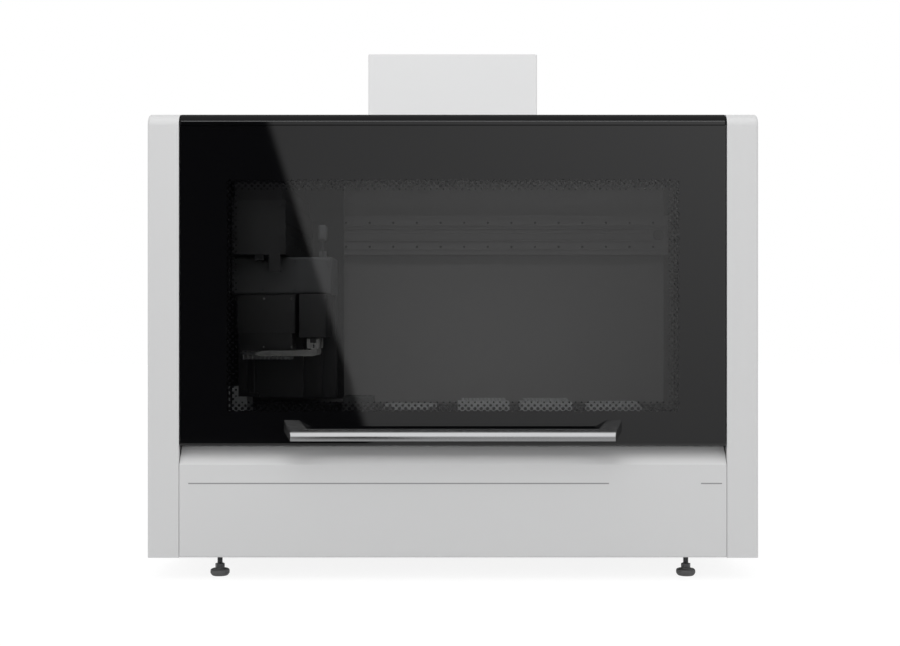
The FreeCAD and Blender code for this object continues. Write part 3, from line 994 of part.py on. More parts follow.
# Clean air unit: shell with rear outlets, filter, blower drum and impeller
body = doc.addObject("PartDesign::Body", "tower_body")
place(body, "-tower_width / 2", "tower_front", "case_top")
carve(body, "tower_block", ("0", "tower_width"), ("0", "tower_depth"), ("0", "tower_height"), "Additive")
rounded(body, "tower_corners", "tower_round", lambda bound: bound.ZMax - bound.ZMin > 1)
doc.recompute()
crown = body.Tip
bevel = body.newObject("PartDesign::Chamfer", "tower_bevel")
bevel.Base = (crown, [f"Edge{number}" for number, edge in enumerate(crown.Shape.Edges, 1)
                      if near(edge.BoundBox.ZMin, size("tower_height"))])
bind(bevel, Size="tower_bevel")
carve(body, "tower_hollow", ("sheet_metal", "tower_width - sheet_metal"),
      ("sheet_metal", "tower_depth - sheet_metal"), ("-1", "tower_height - sheet_metal"))
outlets = int(size("slot_count"))
for k in range(outlets):
    start = f"tower_width / 2 + ({k} - {(outlets - 1) / 2}) * rear_slot_pitch - slot_width / 2"
    carve(body, f"tower_slot_{k}", (start, f"{start} + slot_width"),
          ("tower_depth - sheet_metal - 2", "tower_depth + 2"),
          ("tower_height - outlet_drop - slot_length", "tower_height - outlet_drop"))
keep(body, "filter_housing")
keep(box("filter_case", ("-tower_width / 2 + filter_border", "tower_width / 2 - filter_border"),
         ("tower_front + filter_border", "tower_front + tower_depth - filter_border"),
         ("case_top", "drum_bottom")), "air_filter")
drum_top = "drum_bottom + drum_height"
sides = int(size("drum_sides"))
drum = prism("drum", sides, "0", "drum_line", ("drum_bottom", drum_top), "drum_radius")
drum_hollow = prism("drum_hollow", sides, "0", "drum_line",
                    ("drum_bottom + drum_wall", f"{drum_top} - drum_wall"), "drum_radius - drum_wall")
drum_inlet = prism("drum_inlet", sides, "0", "drum_line", (f"{drum_top} - drum_wall - 1", f"{drum_top} + 1"),
                   "inlet_radius")
motor_post = prism("blower_motor_case", sides, "0", "drum_line",
                   ("drum_bottom + drum_wall - 1", "impeller_bottom - 1"), "blower_motor")
spindle_bore = rod("spindle_bore", "z", "0", "drum_line", ("drum_bottom + 6", "impeller_bottom + 1"),
                   "spindle_radius + turn_gap")
drum_shell = without("drum_shell", drum, [drum_hollow, drum_inlet])
keep(without("drum_cut", joined("drum_set", [drum_shell, motor_post]), [spindle_bore]), "blower_housing")

disc = prism("impeller_disc", sides, "0", "drum_line", ("impeller_bottom", "impeller_bottom + 3"), "impeller_radius")
hub = prism("impeller_hub", sides, "0", "drum_line", ("impeller_bottom", "impeller_bottom + 30"), "hub_radius")
spindle = rod("impeller_spindle", "z", "0", "drum_line", ("drum_bottom + 8", "impeller_bottom + 1"),
              "spindle_radius")
vanes = []
for k in range(int(size("blade_count"))):
    turn = 360 * k / size("blade_count")
    vane = doc.addObject("Part::Box", f"vane_{k}")
    vane.Placement = FreeCAD.Placement(Vector(), Rotation(Vector(0, 0, 1), turn + size("lean")))
    bind(vane, Length="blade_length", Width="blade", Height="impeller_height - 1")
    place(vane, f"(impeller_radius - blade_length - 1) * cos({turn} deg)",
          f"drum_line + (impeller_radius - blade_length - 1) * sin({turn} deg)", "impeller_bottom + 1")
    vanes.append(vane)
keep(joined("impeller", [disc, hub, spindle] + vanes), "blower_impeller")

doc.recompute()
for item in doc.Objects:
    if {"Invalid", "Error"} & set(item.State):
        raise RuntimeError(f"{item.Label} could not be built: {item.State}")
for piece in pieces:
    if piece.Shape.isNull() or not piece.Shape.isValid():
        raise RuntimeError(f"{piece.Label} has no valid shape")
os.makedirs("parts", exist_ok=True)
for piece in pieces:
    piece.Shape.exportStep(os.path.join("parts", piece.Label + ".step"))
    bound = piece.Shape.BoundBox
    print(f"{piece.Label:22s} {len(piece.Shape.Solids):3d} solids  x {bound.XMin:8.1f} {bound.XMax:8.1f}"
          f"  y {bound.YMin:8.1f} {bound.YMax:8.1f}  z {bound.ZMin:8.1f} {bound.ZMax:8.1f}")
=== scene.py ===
import bpy
import bmesh
import json
import math
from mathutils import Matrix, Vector


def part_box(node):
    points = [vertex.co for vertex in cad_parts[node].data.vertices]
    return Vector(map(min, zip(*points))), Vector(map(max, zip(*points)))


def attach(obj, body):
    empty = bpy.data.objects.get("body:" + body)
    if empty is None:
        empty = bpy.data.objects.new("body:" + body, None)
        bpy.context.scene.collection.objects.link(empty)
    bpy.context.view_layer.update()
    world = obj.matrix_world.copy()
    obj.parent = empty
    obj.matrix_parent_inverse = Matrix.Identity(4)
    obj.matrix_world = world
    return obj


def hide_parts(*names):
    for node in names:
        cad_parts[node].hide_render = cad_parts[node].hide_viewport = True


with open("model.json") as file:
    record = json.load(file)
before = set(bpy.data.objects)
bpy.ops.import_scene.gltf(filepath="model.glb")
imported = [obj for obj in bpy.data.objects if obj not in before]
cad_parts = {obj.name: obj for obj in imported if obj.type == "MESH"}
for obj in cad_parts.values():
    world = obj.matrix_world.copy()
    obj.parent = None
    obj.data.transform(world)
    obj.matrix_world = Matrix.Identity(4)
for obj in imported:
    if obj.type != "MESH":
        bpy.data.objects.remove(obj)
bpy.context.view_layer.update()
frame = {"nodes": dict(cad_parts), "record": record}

nodes = frame["nodes"]
scene = bpy.context.scene
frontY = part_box("door_top_cap")[0].y
glassLow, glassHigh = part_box("door_glass")
mm = 0.001

# camera, as the photograph was taken: level, straight on, about half way up
camera = {"side": -0.006, "distance": 2.8, "height": 0.526, "focalPixels": 1370, "imageWidth": 900,
          "sensor": 36}


def makeCamera():
    data = bpy.data.cameras.new("viewCamera")
    data.sensor_width = camera["sensor"]
    data.lens = camera["focalPixels"] / camera["imageWidth"] * camera["sensor"]
    item = bpy.data.objects.new("viewCamera", data)
    item.location = (camera["side"], frontY - camera["distance"], camera["height"])
    item.rotation_euler = (math.radians(90), 0, 0)
    scene.collection.objects.link(item)
    scene.camera = item


makeCamera()
print("camera placed")


# shader maths: a wire wraps a socket, so that expressions on wires add Math nodes
class Wire:
    def __init__(self, shader, socket):
        self.shader = shader
        self.socket = socket

    def maths(self, operation, *values):
        return self.shader.add("ShaderNodeMath", {"operation": operation}, dict(enumerate(values)))

    def __add__(self, other):
        return self.maths("ADD", self, other)

    def __radd__(self, other):
        return self.maths("ADD", other, self)

    def __sub__(self, other):
        return self.maths("SUBTRACT", self, other)

    def __rsub__(self, other):
        return self.maths("SUBTRACT", other, self)

    def __mul__(self, other):
        return self.maths("MULTIPLY", self, other)

    def __rmul__(self, other):
        return self.maths("MULTIPLY", other, self)

    def __truediv__(self, other):
        return self.maths("DIVIDE", self, other)

    def __lt__(self, other):
        return self.maths("LESS_THAN", self, other)

    def __abs__(self):
        return self.maths("ABSOLUTE", self)

    def atLeast(self, other):
        return self.maths("MAXIMUM", self, other)

    def wave(self, pitch):
        return self.maths("PINGPONG", self, pitch / 2) / (pitch / 2)


class Shader:
    def __init__(self, tree):
        self.tree = tree
        tree.nodes.clear()

    def add(self, kind, settings=None, sockets=None, out=0):
        node = self.tree.nodes.new(kind)
        for key, value in (settings or {}).items():
            setattr(node, key, value)
        for key, value in (sockets or {}).items():
            if isinstance(value, Wire):
                self.tree.links.new(value.socket, node.inputs[key])
            else:
                node.inputs[key].default_value = value
        return Wire(self, node.outputs[out])

    def position(self):
        return self.add("ShaderNodeTexCoord", out="Object")

    def axes(self):
        split = self.add("ShaderNodeSeparateXYZ", sockets={0: self.position()})
        return [Wire(self, split.socket.node.outputs[k]) for k in range(3)]

    def noise(self, scale, detail=2.0, stretch=(1, 1, 1)):
        place = self.add("ShaderNodeMapping", sockets={"Vector": self.position(), "Scale": stretch})
        return self.add("ShaderNodeTexNoise", sockets={"Vector": place, "Scale": scale, "Detail": detail})

    def mix(self, factor, first, second):
        return self.add("ShaderNodeMix", {"data_type": "RGBA"}, {0: factor, 6: first, 7: second}, 2)

    def bump(self, height, distance):
        return self.add("ShaderNodeBump", sockets={"Height": height, "Distance": distance})

    def principled(self, **sockets):
        return self.add("ShaderNodeBsdfPrincipled", sockets={key.replace("_", " "): value
                                                             for key, value in sockets.items()})

    def mixShader(self, factor, first, second):
        return self.add("ShaderNodeMixShader", sockets={0: factor, 1: first, 2: second})

    # how far the background, rather than the light it gives, is what a ray sees
    def seen(self):
        path = self.add("ShaderNodeLightPath", out="Is Camera Ray")
        total = path
        for name in ("Is Glossy Ray", "Is Transmission Ray"):
            total = total.atLeast(Wire(self, path.socket.node.outputs[name]))
        return total

    def surface(self, shader):
        output = self.tree.nodes.new("ShaderNodeOutputMaterial")
        self.tree.links.new(shader.socket, output.inputs[0])


def newMaterial(name):
    material = bpy.data.materials.new(name)
    material.use_nodes = True
    return material, Shader(material.node_tree)


def shade(colour, amount):
    return tuple(min(1, part * amount) for part in colour) + (1,)


# how far a finish strays: its roughness from end to end, and shares of its colour at the darkest and lightest
stray = {"paint": 0.08, "lines": 0.12, "cloud": 0.06, "cloudScale": 9, "flow": 0.1, "flowScale": 14,
         "drawnDark": 0.93, "mouldDark": 0.94, "light": 1.05}


# sprayed paint: a faint cloud in the colour, and the fine ripple of a baked coat
def powderCoat(name, look):
    material, shader = newMaterial(name)
    cloud = shader.noise(look["cloudScale"], 3)
    grain = shader.noise(look["grainScale"], 2)
    colour = shader.mix(cloud, shade(look["colour"], 1 - look["drift"]),
                        shade(look["colour"], 1 + look["drift"]))
    rough = look["rough"] + (cloud - 0.5) * stray["paint"]
    shader.surface(shader.principled(Base_Color=colour, Roughness=rough,
                                     Specular_IOR_Level=look.get("gloss", 0.5),
                                     Normal=shader.bump(grain, look["grainDepth"])))
    return material


# metal with lines drawn one way by brushing, grinding or drawing
def metalFinish(name, look):
    material, shader = newMaterial(name)
    drawn = shader.noise(look["lineScale"], 3, look["stretch"])
    cloud = shader.noise(stray["cloudScale"], 2)
    colour = shader.mix(drawn, shade(look["colour"], stray["drawnDark"]),
                        shade(look["colour"], stray["light"]))
    rough = look["rough"] + (drawn - 0.5) * stray["lines"] + (cloud - 0.5) * stray["cloud"]
    shader.surface(shader.principled(Base_Color=colour, Roughness=rough, Metallic=look["metallic"],
                                     Normal=shader.bump(drawn, look["lineDepth"])))
    return material


# moulded parts: a spark-eroded grain and slight flow marks
def mouldedPlastic(name, look):
    material, shader = newMaterial(name)
    grain = shader.noise(look["grainScale"], 4)
    flow = shader.noise(stray["flowScale"], 2)
    colour = shader.mix(flow, shade(look["colour"], stray["mouldDark"]),
                        shade(look["colour"], stray["light"]))
    rough = look["rough"] + (flow - 0.5) * stray["flow"]
    shader.surface(shader.principled(Base_Color=colour, Roughness=rough,
                                     Normal=shader.bump(grain, look["grainDepth"])))
    return material


# circuit board: green lacquer with tracks that show as a faint grid
def boardFinish(name, look):
    material, shader = newMaterial(name)
    x, y = shader.axes()[:2]
    track = (x.wave(look["pitch"]) < look["share"]).atLeast(y.wave(look["pitch"]) < look["share"])
    patch = shader.noise(look["patchScale"], 1)
    colour = shader.mix(track * patch, look["lacquer"], look["track"])
    shader.surface(shader.principled(Base_Color=colour, Roughness=look["rough"] + patch * look["patch"]))
    return material


# pleated filter paper: folds as a wave across, with painted shade darkening the paper in the folds, and a matt
# fibre
def pleatFinish(name, look):
    material, shader = newMaterial(name)
    fold = shader.axes()[0].wave(look["pitch"])
    fibre = shader.noise(look["fibreScale"], 3)
    colour = shader.mix(fold, look["shadow"], look["paper"])
    rough = look["rough"] + (fibre - 0.5) * look["fibre"]
    shader.surface(shader.principled(Base_Color=colour, Roughness=rough,
                                     Normal=shader.bump(fold, look["depth"])))
    return material


finishes = {
    "panel_paint": powderCoat("panelPaint", {
        "colour": (0.655, 0.657, 0.66), "drift": 0.012, "rough": 0.48,
        "cloudScale": 3, "grainScale": 900, "grainDepth": 0.00003}),
    "door_black": powderCoat("doorBlack", {
        "colour": (0.004, 0.004, 0.0045), "drift": 0.1, "rough": 0.24,
        "cloudScale": 4, "grainScale": 700, "grainDepth": 0.000005}),
    "chamber_grey": powderCoat("chamberGrey", {
        "colour": (0.34, 0.34, 0.342), "drift": 0.04, "rough": 0.55,
        "cloudScale": 3, "grainScale": 800, "grainDepth": 0.00004}),
    "frame_steel": powderCoat("frameGrey", {
        "colour": (0.17, 0.175, 0.18), "drift": 0.05, "rough": 0.5,
        "cloudScale": 5, "grainScale": 800, "grainDepth": 0.00004}),
    "handle_metal": metalFinish("handleSatin", {
        "colour": (0.235, 0.236, 0.24), "rough": 0.22, "metallic": 1,
        "lineScale": 260, "stretch": (0.03, 1, 1), "lineDepth": 0.00001}),
    "bright_steel": metalFinish("groundSteel", {
        "colour": (0.62, 0.62, 0.61), "rough": 0.24, "metallic": 1,
        "lineScale": 400, "stretch": (0.05, 1, 1), "lineDepth": 0.00001}),
    "dark_steel": metalFinish("darkSteel", {
        "colour": (0.065, 0.066, 0.07), "rough": 0.46, "metallic": 0.5,
        "lineScale": 400, "stretch": (0.05, 1, 1), "lineDepth": 0.00001}),
    "clear_anodised": metalFinish("clearAnodised", {
        "colour": (0.66, 0.665, 0.67), "rough": 0.36, "metallic": 1,
        "lineScale": 300, "stretch": (1, 1, 0.05), "lineDepth": 0.00001}),
    "dark_anodised": metalFinish("darkAnodised", {
        "colour": (0.035, 0.036, 0.039), "rough": 0.42, "metallic": 0.4,
        "lineScale": 500, "stretch": (0.2, 1, 1), "lineDepth": 0.00001}),
    "grey_plastic": mouldedPlastic("greyPlastic", {
        "colour": (0.085, 0.088, 0.092), "rough": 0.5,
        "grainScale": 900, "grainDepth": 0.00005}),
    "dark_plastic": mouldedPlastic("darkPlastic", {
        "colour": (0.022, 0.022, 0.024), "rough": 0.48,
        "grainScale": 900, "grainDepth": 0.00005}),
    "pale_plastic": mouldedPlastic("palePlastic", {
        "colour": (0.66, 0.68, 0.69), "rough": 0.4,
        "grainScale": 700, "grainDepth": 0.00002}),
    "rubber": mouldedPlastic("footRubber", {
        "colour": (0.105, 0.106, 0.108), "rough": 0.62,
        "grainScale": 500, "grainDepth": 0.00008}),
    "lamp_diffuser": mouldedPlastic("lampDiffuser", {
        "colour": (0.8, 0.82, 0.83), "rough": 0.35,
        "grainScale": 400, "grainDepth": 0.00002}),
    "circuit_board": boardFinish("boardGreen", {
        "pitch": 0.006, "share": 0.16, "rough": 0.32, "patch": 0.15, "patchScale": 60,
        "lacquer": (0.02, 0.10, 0.04, 1), "track": (0.06, 0.22, 0.10, 1)}),
    "filter_media": pleatFinish("filterPaper", {
        "pitch": 0.008, "depth": 0.004, "rough": 0.85, "fibre": 0.1, "fibreScale": 450,
        "paper": (0.78, 0.77, 0.74, 1), "shadow": (0.45, 0.44, 0.42, 1)}),
}
# the roof unit takes a copy of the case paint a shade lighter than the case, painted light that makes it read
# brighter; the strip along the top edge of the glass is grey, a painted highlight of that edge
roofPaintedLight = powderCoat("roofPaintedLight", {
    "colour": (0.775, 0.777, 0.78), "drift": 0.01, "rough": 0.5,
    "cloudScale": 3, "grainScale": 900, "grainDepth": 0.00003})
paintedEdgeHighlight = powderCoat("paintedEdgeHighlight", {
    "colour": (0.075, 0.076, 0.078), "drift": 0.05, "rough": 0.4,
    "cloudScale": 6, "grainScale": 900, "grainDepth": 0.00001})
capBlack = powderCoat("capBlack", {
    "colour": (0.004, 0.004, 0.0045), "drift": 0.1, "rough": 0.5, "gloss": 0.06,
    "cloudScale": 4, "grainScale": 700, "grainDepth": 0.000005})
beamGrey = powderCoat("beamGrey", {
    "colour": (0.31, 0.31, 0.313), "drift": 0.04, "rough": 0.55, "gloss": 0.3,
    "cloudScale": 5, "grainScale": 800, "grainDepth": 0.00002})
headBlack = mouldedPlastic("headBlack", {
    "colour": (0.036, 0.037, 0.039), "rough": 0.52,
    "grainScale": 900, "grainDepth": 0.00005})
grooveShade = powderCoat("grooveShade", {
    "colour": (0.27, 0.27, 0.272), "drift": 0.04, "rough": 0.6,
    "cloudScale": 6, "grainScale": 900, "grainDepth": 0.00001})

# glass door: black print round a tinted window, on one glossy sheet
window = {"half": 0.463, "foot": 0.0695, "tall": 0.475}
windowLow = Vector((-window["half"], 0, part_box("sash_frame")[0].z + window["foot"]))
windowHigh = Vector((window["half"], 0, windowLow.z + window["tall"]))
doorLook = {"print": (0.0025, 0.0025, 0.003, 1), "tint": (0.71, 0.71, 0.71, 1), "rough": 0.02, "ior": 1.5,
            "polish": 0.015, "smear": 0.03}


# black print under the glass, which is smooth but for faint smears
def printed(shader):
    smear = shader.noise(6, 4)
    return shader.principled(Base_Color=doorLook["print"], IOR=doorLook["ior"],
                             Roughness=doorLook["polish"] + smear * doorLook["smear"])


def makeDoorGlass():
    material, shader = newMaterial("doorGlass")
    x, z = shader.axes()[::2]
    middle = (windowLow + windowHigh) / 2
    half = (windowHigh - windowLow) / 2
    inside = (abs(x - middle.x) < half.x) * (abs(z - middle.z) < half.z)
    clear = shader.add("ShaderNodeBsdfTransparent", sockets={"Color": doorLook["tint"]})
    shine = shader.add("ShaderNodeBsdfGlossy", sockets={"Roughness": doorLook["rough"]})
    fresnel = shader.add("ShaderNodeFresnel", sockets={"IOR": doorLook["ior"]})
    shader.surface(shader.mixShader(inside, printed(shader), shader.mixShader(fresnel, clear, shine)))
    return material


def makeDoorPrint():
    material, shader = newMaterial("doorPrint")
    shader.surface(printed(shader))
    return material


finishes["door_glass"] = makeDoorGlass()
doorPrint = makeDoorPrint()
# the roof unit takes the lighter copy of the case paint, which is painted light
ownFinish = {"filter_housing": roofPaintedLight, "door_top_cap": capBlack, "x_beam": beamGrey, "x_belt": beamGrey,
             "x_rails": beamGrey, "y_rail": finishes["dark_steel"], "head_housing": headBlack,
             "gripper_module": headBlack, "y_arm_end_cap": headBlack}
for row in frame["record"]["subparts"]:
    item = nodes[row["node"]]
    if not item.material_slots:
        item.data.materials.append(None)
    for slot in item.material_slots:
        slot.material = ownFinish.get(row["node"], finishes[row["material_slot"]])
print("finishes on the frame's nodes")


# mesh building: each function adds one closed form to a mesh
def block(mesh, low, high, rounded=0.0, steps=2):
    made = bmesh.ops.create_cube(mesh, size=1)["verts"]
    for vert in made:
        vert.co = Vector([low[k] + (vert.co[k] + 0.5) * (high[k] - low[k]) for k in range(3)])
    if rounded:
        edges = list({edge for vert in made for edge in vert.link_edges})
        bmesh.ops.bevel(mesh, geom=edges, offset=rounded, segments=steps, profile=0.5, affect="EDGES")


turned = {"x": lambda p: Vector((p.z, p.x, p.y)), "y": lambda p: Vector((p.y, p.z, p.x)), "z": lambda p: p}


# a profile of (radius, height) turned about an axis; a loop's last point joins its first
def lathe(mesh, profile, centre, axis="z", steps=24, loop=False):
    rings = []
    for radius, height in profile:
        angles = [2 * math.pi * (k + 0.5) / steps for k in range(steps if radius else 1)]
        rings.append([mesh.verts.new(Vector(centre) + turned[axis](Vector((
            radius * math.cos(angle), radius * math.sin(angle), height)))) for angle in angles])
    pairs = list(zip(rings, rings[1:])) + ([(rings[-1], rings[0])] if loop else [])
    for low, high in pairs:
        for k in range(steps):
            after = (k + 1) % steps
            corners = [low[k % len(low)], low[after % len(low)], high[after % len(high)], high[k % len(high)]]
            mesh.faces.new(list(dict.fromkeys(corners)))


def tube(mesh, centre, outer, inner, length, axis="z", steps=16):
    lathe(mesh, ((inner, 0), (outer, 0), (outer, length), (inner, length)), centre, axis, steps, True)


# a round head with a socket, its outline in shares of the radius and the height
headOutline = ((0, 0), (1, 0), (1, 0.6), (0.82, 1), (0.5, 1), (0.42, 0.3), (0, 0.3))


# a head on a face that looks along the axis the other way has a negative height
def screwHead(mesh, place, axis, radius, height):
    lathe(mesh, [(radius * across, height * up) for across, up in headOutline], place, axis, 12)


# places along the rim of one face of a node's box, in columns and rows
def facePlaces(node, face, across, up, edge):
    low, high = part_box(node)
    axis = "xyz".index(face[1])
    free = [k for k in range(3) if k != axis]
    places = []
    for a in range(across):
        for b in range(up):
            if 0 < a < across - 1 and 0 < b < up - 1:
                continue
            place = Vector(high if face[0] == "+" else low)
            for k, number, count in ((free[0], a, across), (free[1], b, up)):
                place[k] = low[k] + edge + (high[k] - low[k] - 2 * edge) * number / max(count - 1, 1)
            places.append(place)
    return places


# in degrees: faces that meet at less than the smooth angle shade into each other, an edge of more than the
# sharp angle is broken, and faces within the flat angle become one
edgeAngles = {"smooth": 35, "sharp": 28, "flat": 0.5}
weldDistance = 0.00001


def softenEdges(mesh):
    bmesh.ops.recalc_face_normals(mesh, faces=mesh.faces)
    for edge in mesh.edges:
        turn = edge.calc_face_angle(math.pi) if len(edge.link_faces) == 2 else math.pi
        edge.smooth = turn < math.radians(edgeAngles["smooth"])
    for face in mesh.faces:
        face.smooth = True


def breakEdges(mesh, width):
    flat = math.radians(edgeAngles["flat"])
    bmesh.ops.dissolve_limit(mesh, angle_limit=flat, verts=mesh.verts, edges=mesh.edges)
    sharp = [edge for edge in mesh.edges
             if len(edge.link_faces) == 2 and edge.calc_face_angle() > math.radians(edgeAngles["sharp"])]
    bmesh.ops.bevel(mesh, geom=sharp, offset=width, segments=2, profile=0.5, affect="EDGES",
                    clamp_overlap=True)


def newPiece(name, mesh, body, slot, material=None):
    data = bpy.data.meshes.new(name)
    softenEdges(mesh)
    mesh.to_mesh(data)
    mesh.free()
    item = bpy.data.objects.new(name, data)
    scene.collection.objects.link(item)
    data.materials.append(material or finishes[slot])
    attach(item, body)
    return item


# printed dots round the window, smaller towards the clear middle
dots = {"pitch": 0.0128, "radii": (0.0040, 0.0034, 0.0027, 0.0019), "proud": 0.0001, "sides": 14}


def makeDots():
    mesh = bmesh.new()
    front = glassLow.y - dots["proud"]
    wide = round((windowHigh.x - windowLow.x) / dots["pitch"])
    tall = round((windowHigh.z - windowLow.z) / dots["pitch"])
    stepX = (windowHigh.x - windowLow.x) / wide
    stepZ = (windowHigh.z - windowLow.z) / tall
    for a in range(2 * wide + 1):
        for b in range(2 * tall + 1):
            ring = min(a, b, 2 * wide - a, 2 * tall - b)
            if (a + b) % 2 or ring >= len(dots["radii"]):
                continue
            middle = Vector((windowLow.x + a * stepX / 2, front, windowLow.z + b * stepZ / 2))
            corners = []
            for k in range(dots["sides"]):
                angle = 2 * math.pi * k / dots["sides"]
                reach = dots["radii"][ring] * Vector((math.cos(angle), 0, math.sin(angle)))
                corners.append(mesh.verts.new(middle + reach))
            mesh.faces.new(corners)
    newPiece("window_dots", mesh, "sash", "door_glass", doorPrint)


makeDots()

# the glass runs up over the cap and ends in an edge strip in grey, a painted highlight of the edge; a rubber
# lip lies behind it
doorTop = {"glassTop": 0.9375, "edge": 0.0016, "edgeRound": 0.0003, "proud": 0.0004, "sink": 0.0002,
           "clear": 0.0012, "side": 0.556, "lip": 0.004, "lipHalf": 0.002, "lipDepth": 0.003,
           "lipRound": 0.0008}


def makeDoorTop():
    side, top = doorTop["side"], doorTop["glassTop"]
    face, back = frontY - doorTop["proud"], frontY + doorTop["sink"]
    mesh = bmesh.new()
    block(mesh, (-side, face, glassHigh.z + doorTop["clear"]), (side, back, top))
    newPiece("door_glass_band", mesh, "sash", "door_glass", doorPrint)
    mesh = bmesh.new()
    block(mesh, (-side, face, top), (side, back, top + doorTop["edge"]), doorTop["edgeRound"], 1)
    newPiece("door_glass_edge", mesh, "sash", "door_glass", paintedEdgeHighlight)
    mesh = bmesh.new()
    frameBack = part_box("sash_frame")[1].y
    for x in (windowLow.x + doorTop["lip"], windowHigh.x - doorTop["lip"]):
        block(mesh, (x - doorTop["lipHalf"], frameBack, windowLow.z),
              (x + doorTop["lipHalf"], frameBack + doorTop["lipDepth"], windowHigh.z), doorTop["lipRound"])
    newPiece("window_lips", mesh, "sash", "rubber", capBlack)


makeDoorTop()


# a copy of a node's solid with its sharp edges broken, which then stands for the node
def brokenEdges(name, node, body, slot, width, material):
    mesh = bmesh.new()
    mesh.from_mesh(nodes[node].data)
    bmesh.ops.remove_doubles(mesh, verts=mesh.verts, dist=weldDistance)
    breakEdges(mesh, width)
    bmesh.ops.triangulate(mesh, faces=[face for face in mesh.faces if len(face.verts) > 4])
    item = newPiece(name, mesh, body, slot, material)
    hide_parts(node)


# the handle: a sloping slab with a round nose, its ends tapered and the grip cut out of it, edges broken
handle = {"width": 0.691, "barWidth": 0.652, "armWidth": 0.031, "barDepth": 0.020, "root": 0.0241,
          "drop": 0.0232, "thick": 0.0172, "upperRound": 0.014, "lowerRound": 0.0035, "noseSteps": 14,
          "edge": 0.0008, "spare": 0.002, "cutSpare": 0.02}


def roundedCorner(before, corner, after, radius, steps):
    first, second = (before - corner).normalized(), (after - corner).normalized()
    half = first.angle(second) / 2
    centre = corner + (first + second).normalized() * radius / math.sin(half)
    start = corner + first * radius / math.tan(half) - centre
    stop = corner + second * radius / math.tan(half) - centre
    sweep = start.angle(stop)
    return [centre + (start * math.sin((1 - k / steps) * sweep) + stop * math.sin(k / steps * sweep))
            / math.sin(sweep) for k in range(steps + 1)]


# a closed form between two rings of points
def loft(mesh, low, high):
    first, second = [[mesh.verts.new(point) for point in ring] for ring in (low, high)]
    mesh.faces.new(first)
    mesh.faces.new(list(reversed(second)))
    for k in range(len(first)):
        after = (k + 1) % len(first)
        mesh.faces.new((first[k], first[after], second[after], second[k]))


def makeHandle():
    low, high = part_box("door_handle")
    back, front, top = high.y, low.y, high.z
    nose = top - handle["drop"]
    corners = [Vector((back, top - handle["root"])), Vector((back, top)), Vector((front, nose)),
               Vector((front, nose - handle["thick"]))]
    outline = corners[:2]
    outline += roundedCorner(corners[1], corners[2], corners[3], handle["upperRound"], handle["noseSteps"])
    outline += roundedCorner(corners[2], corners[3], corners[0], handle["lowerRound"], handle["noseSteps"])
    inset = (handle["width"] - handle["barWidth"]) / 2
    mesh = bmesh.new()
    loft(mesh, *[[(side * (handle["width"] / 2 - inset * (back - y) / (back - front)), y, z)
                  for y, z in outline] for side in (-1, 1)])
    item = newPiece("bar_handle", mesh, "sash", "handle_metal")
    inner = handle["width"] / 2 - handle["armWidth"]
    gripBack = back + handle["spare"]
    lean = inset / (back - front - handle["barDepth"])
    wide, narrow = inner + handle["spare"] * lean, inner - inset
    plan = [(-wide, gripBack), (wide, gripBack), (narrow, front + handle["barDepth"]),
            (-narrow, front + handle["barDepth"])]
    mesh = bmesh.new()
    levels = low.z - handle["cutSpare"], high.z + handle["cutSpare"]
    loft(mesh, *[[(x, y, z) for x, y in plan] for z in levels])
    bmesh.ops.recalc_face_normals(mesh, faces=mesh.faces)
    cutterData = bpy.data.meshes.new("gripCutter")
    mesh.to_mesh(cutterData)
    mesh.free()
    cutter = bpy.data.objects.new("gripCutter", cutterData)
    scene.collection.objects.link(cutter)
    cut = item.modifiers.new("grip", "BOOLEAN")
    cut.operation = "DIFFERENCE"
    cut.solver = "EXACT"
    cut.object = cutter
    bpy.context.view_layer.update()
    shape = bpy.data.meshes.new_from_object(item.evaluated_get(bpy.context.evaluated_depsgraph_get()))
    item.modifiers.remove(cut)
    bpy.data.objects.remove(cutter)
    mesh = bmesh.new()
    mesh.from_mesh(shape)
    breakEdges(mesh, handle["edge"])
    softenEdges(mesh)
    mesh.to_mesh(item.data)
    mesh.free()
    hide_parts("door_handle")


makeHandle()
print("door dressed")

# lower panel: the groove line is a dark strip at the foot of the groove, painted shade in the groove's recess
groove = {"level": 0.1495, "height": 0.0025, "spans": ((-0.541, 0.319), (0.507, 0.550)), "front": 0.0003,
          "back": 0.0014}


def makeGroove():
    mesh = bmesh.new()
    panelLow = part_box("lower_front_panel")[0]
    level = panelLow.z + groove["level"]
    for start, stop in groove["spans"]:
        block(mesh, (start, panelLow.y + groove["front"], level - groove["height"] / 2),
              (stop, panelLow.y + groove["back"], level + groove["height"] / 2))
    newPiece("groove_line", mesh, "root", "panel_paint", grooveShade)


makeGroove()

# feet: a moulded pad with a waist and ribs, and a rolled thread on each stem, all in millimetres
footLook = {"pad": ((0, 0), (15.6, 0), (17.2, 1.2), (19.6, 4.6), (19.9, 6.2), (19.9, 10.2), (19.2, 12.2),
                    (17.2, 13.6), (11.2, 14.4), (9.2, 17.0), (0, 17.0)),
            "hexagon": 7.5, "clear": 0.3, "panWall": 1.5, "pitch": 1.5, "core": 4.9, "root": 5.05,
            "turn": ((5.05, 0.2), (5.5, 0.65), (5.5, 0.85), (5.05, 1.3)), "padSteps": 40, "threadSteps": 20}


def inMetres(profile):
    return [(radius * mm, height * mm) for radius, height in profile]


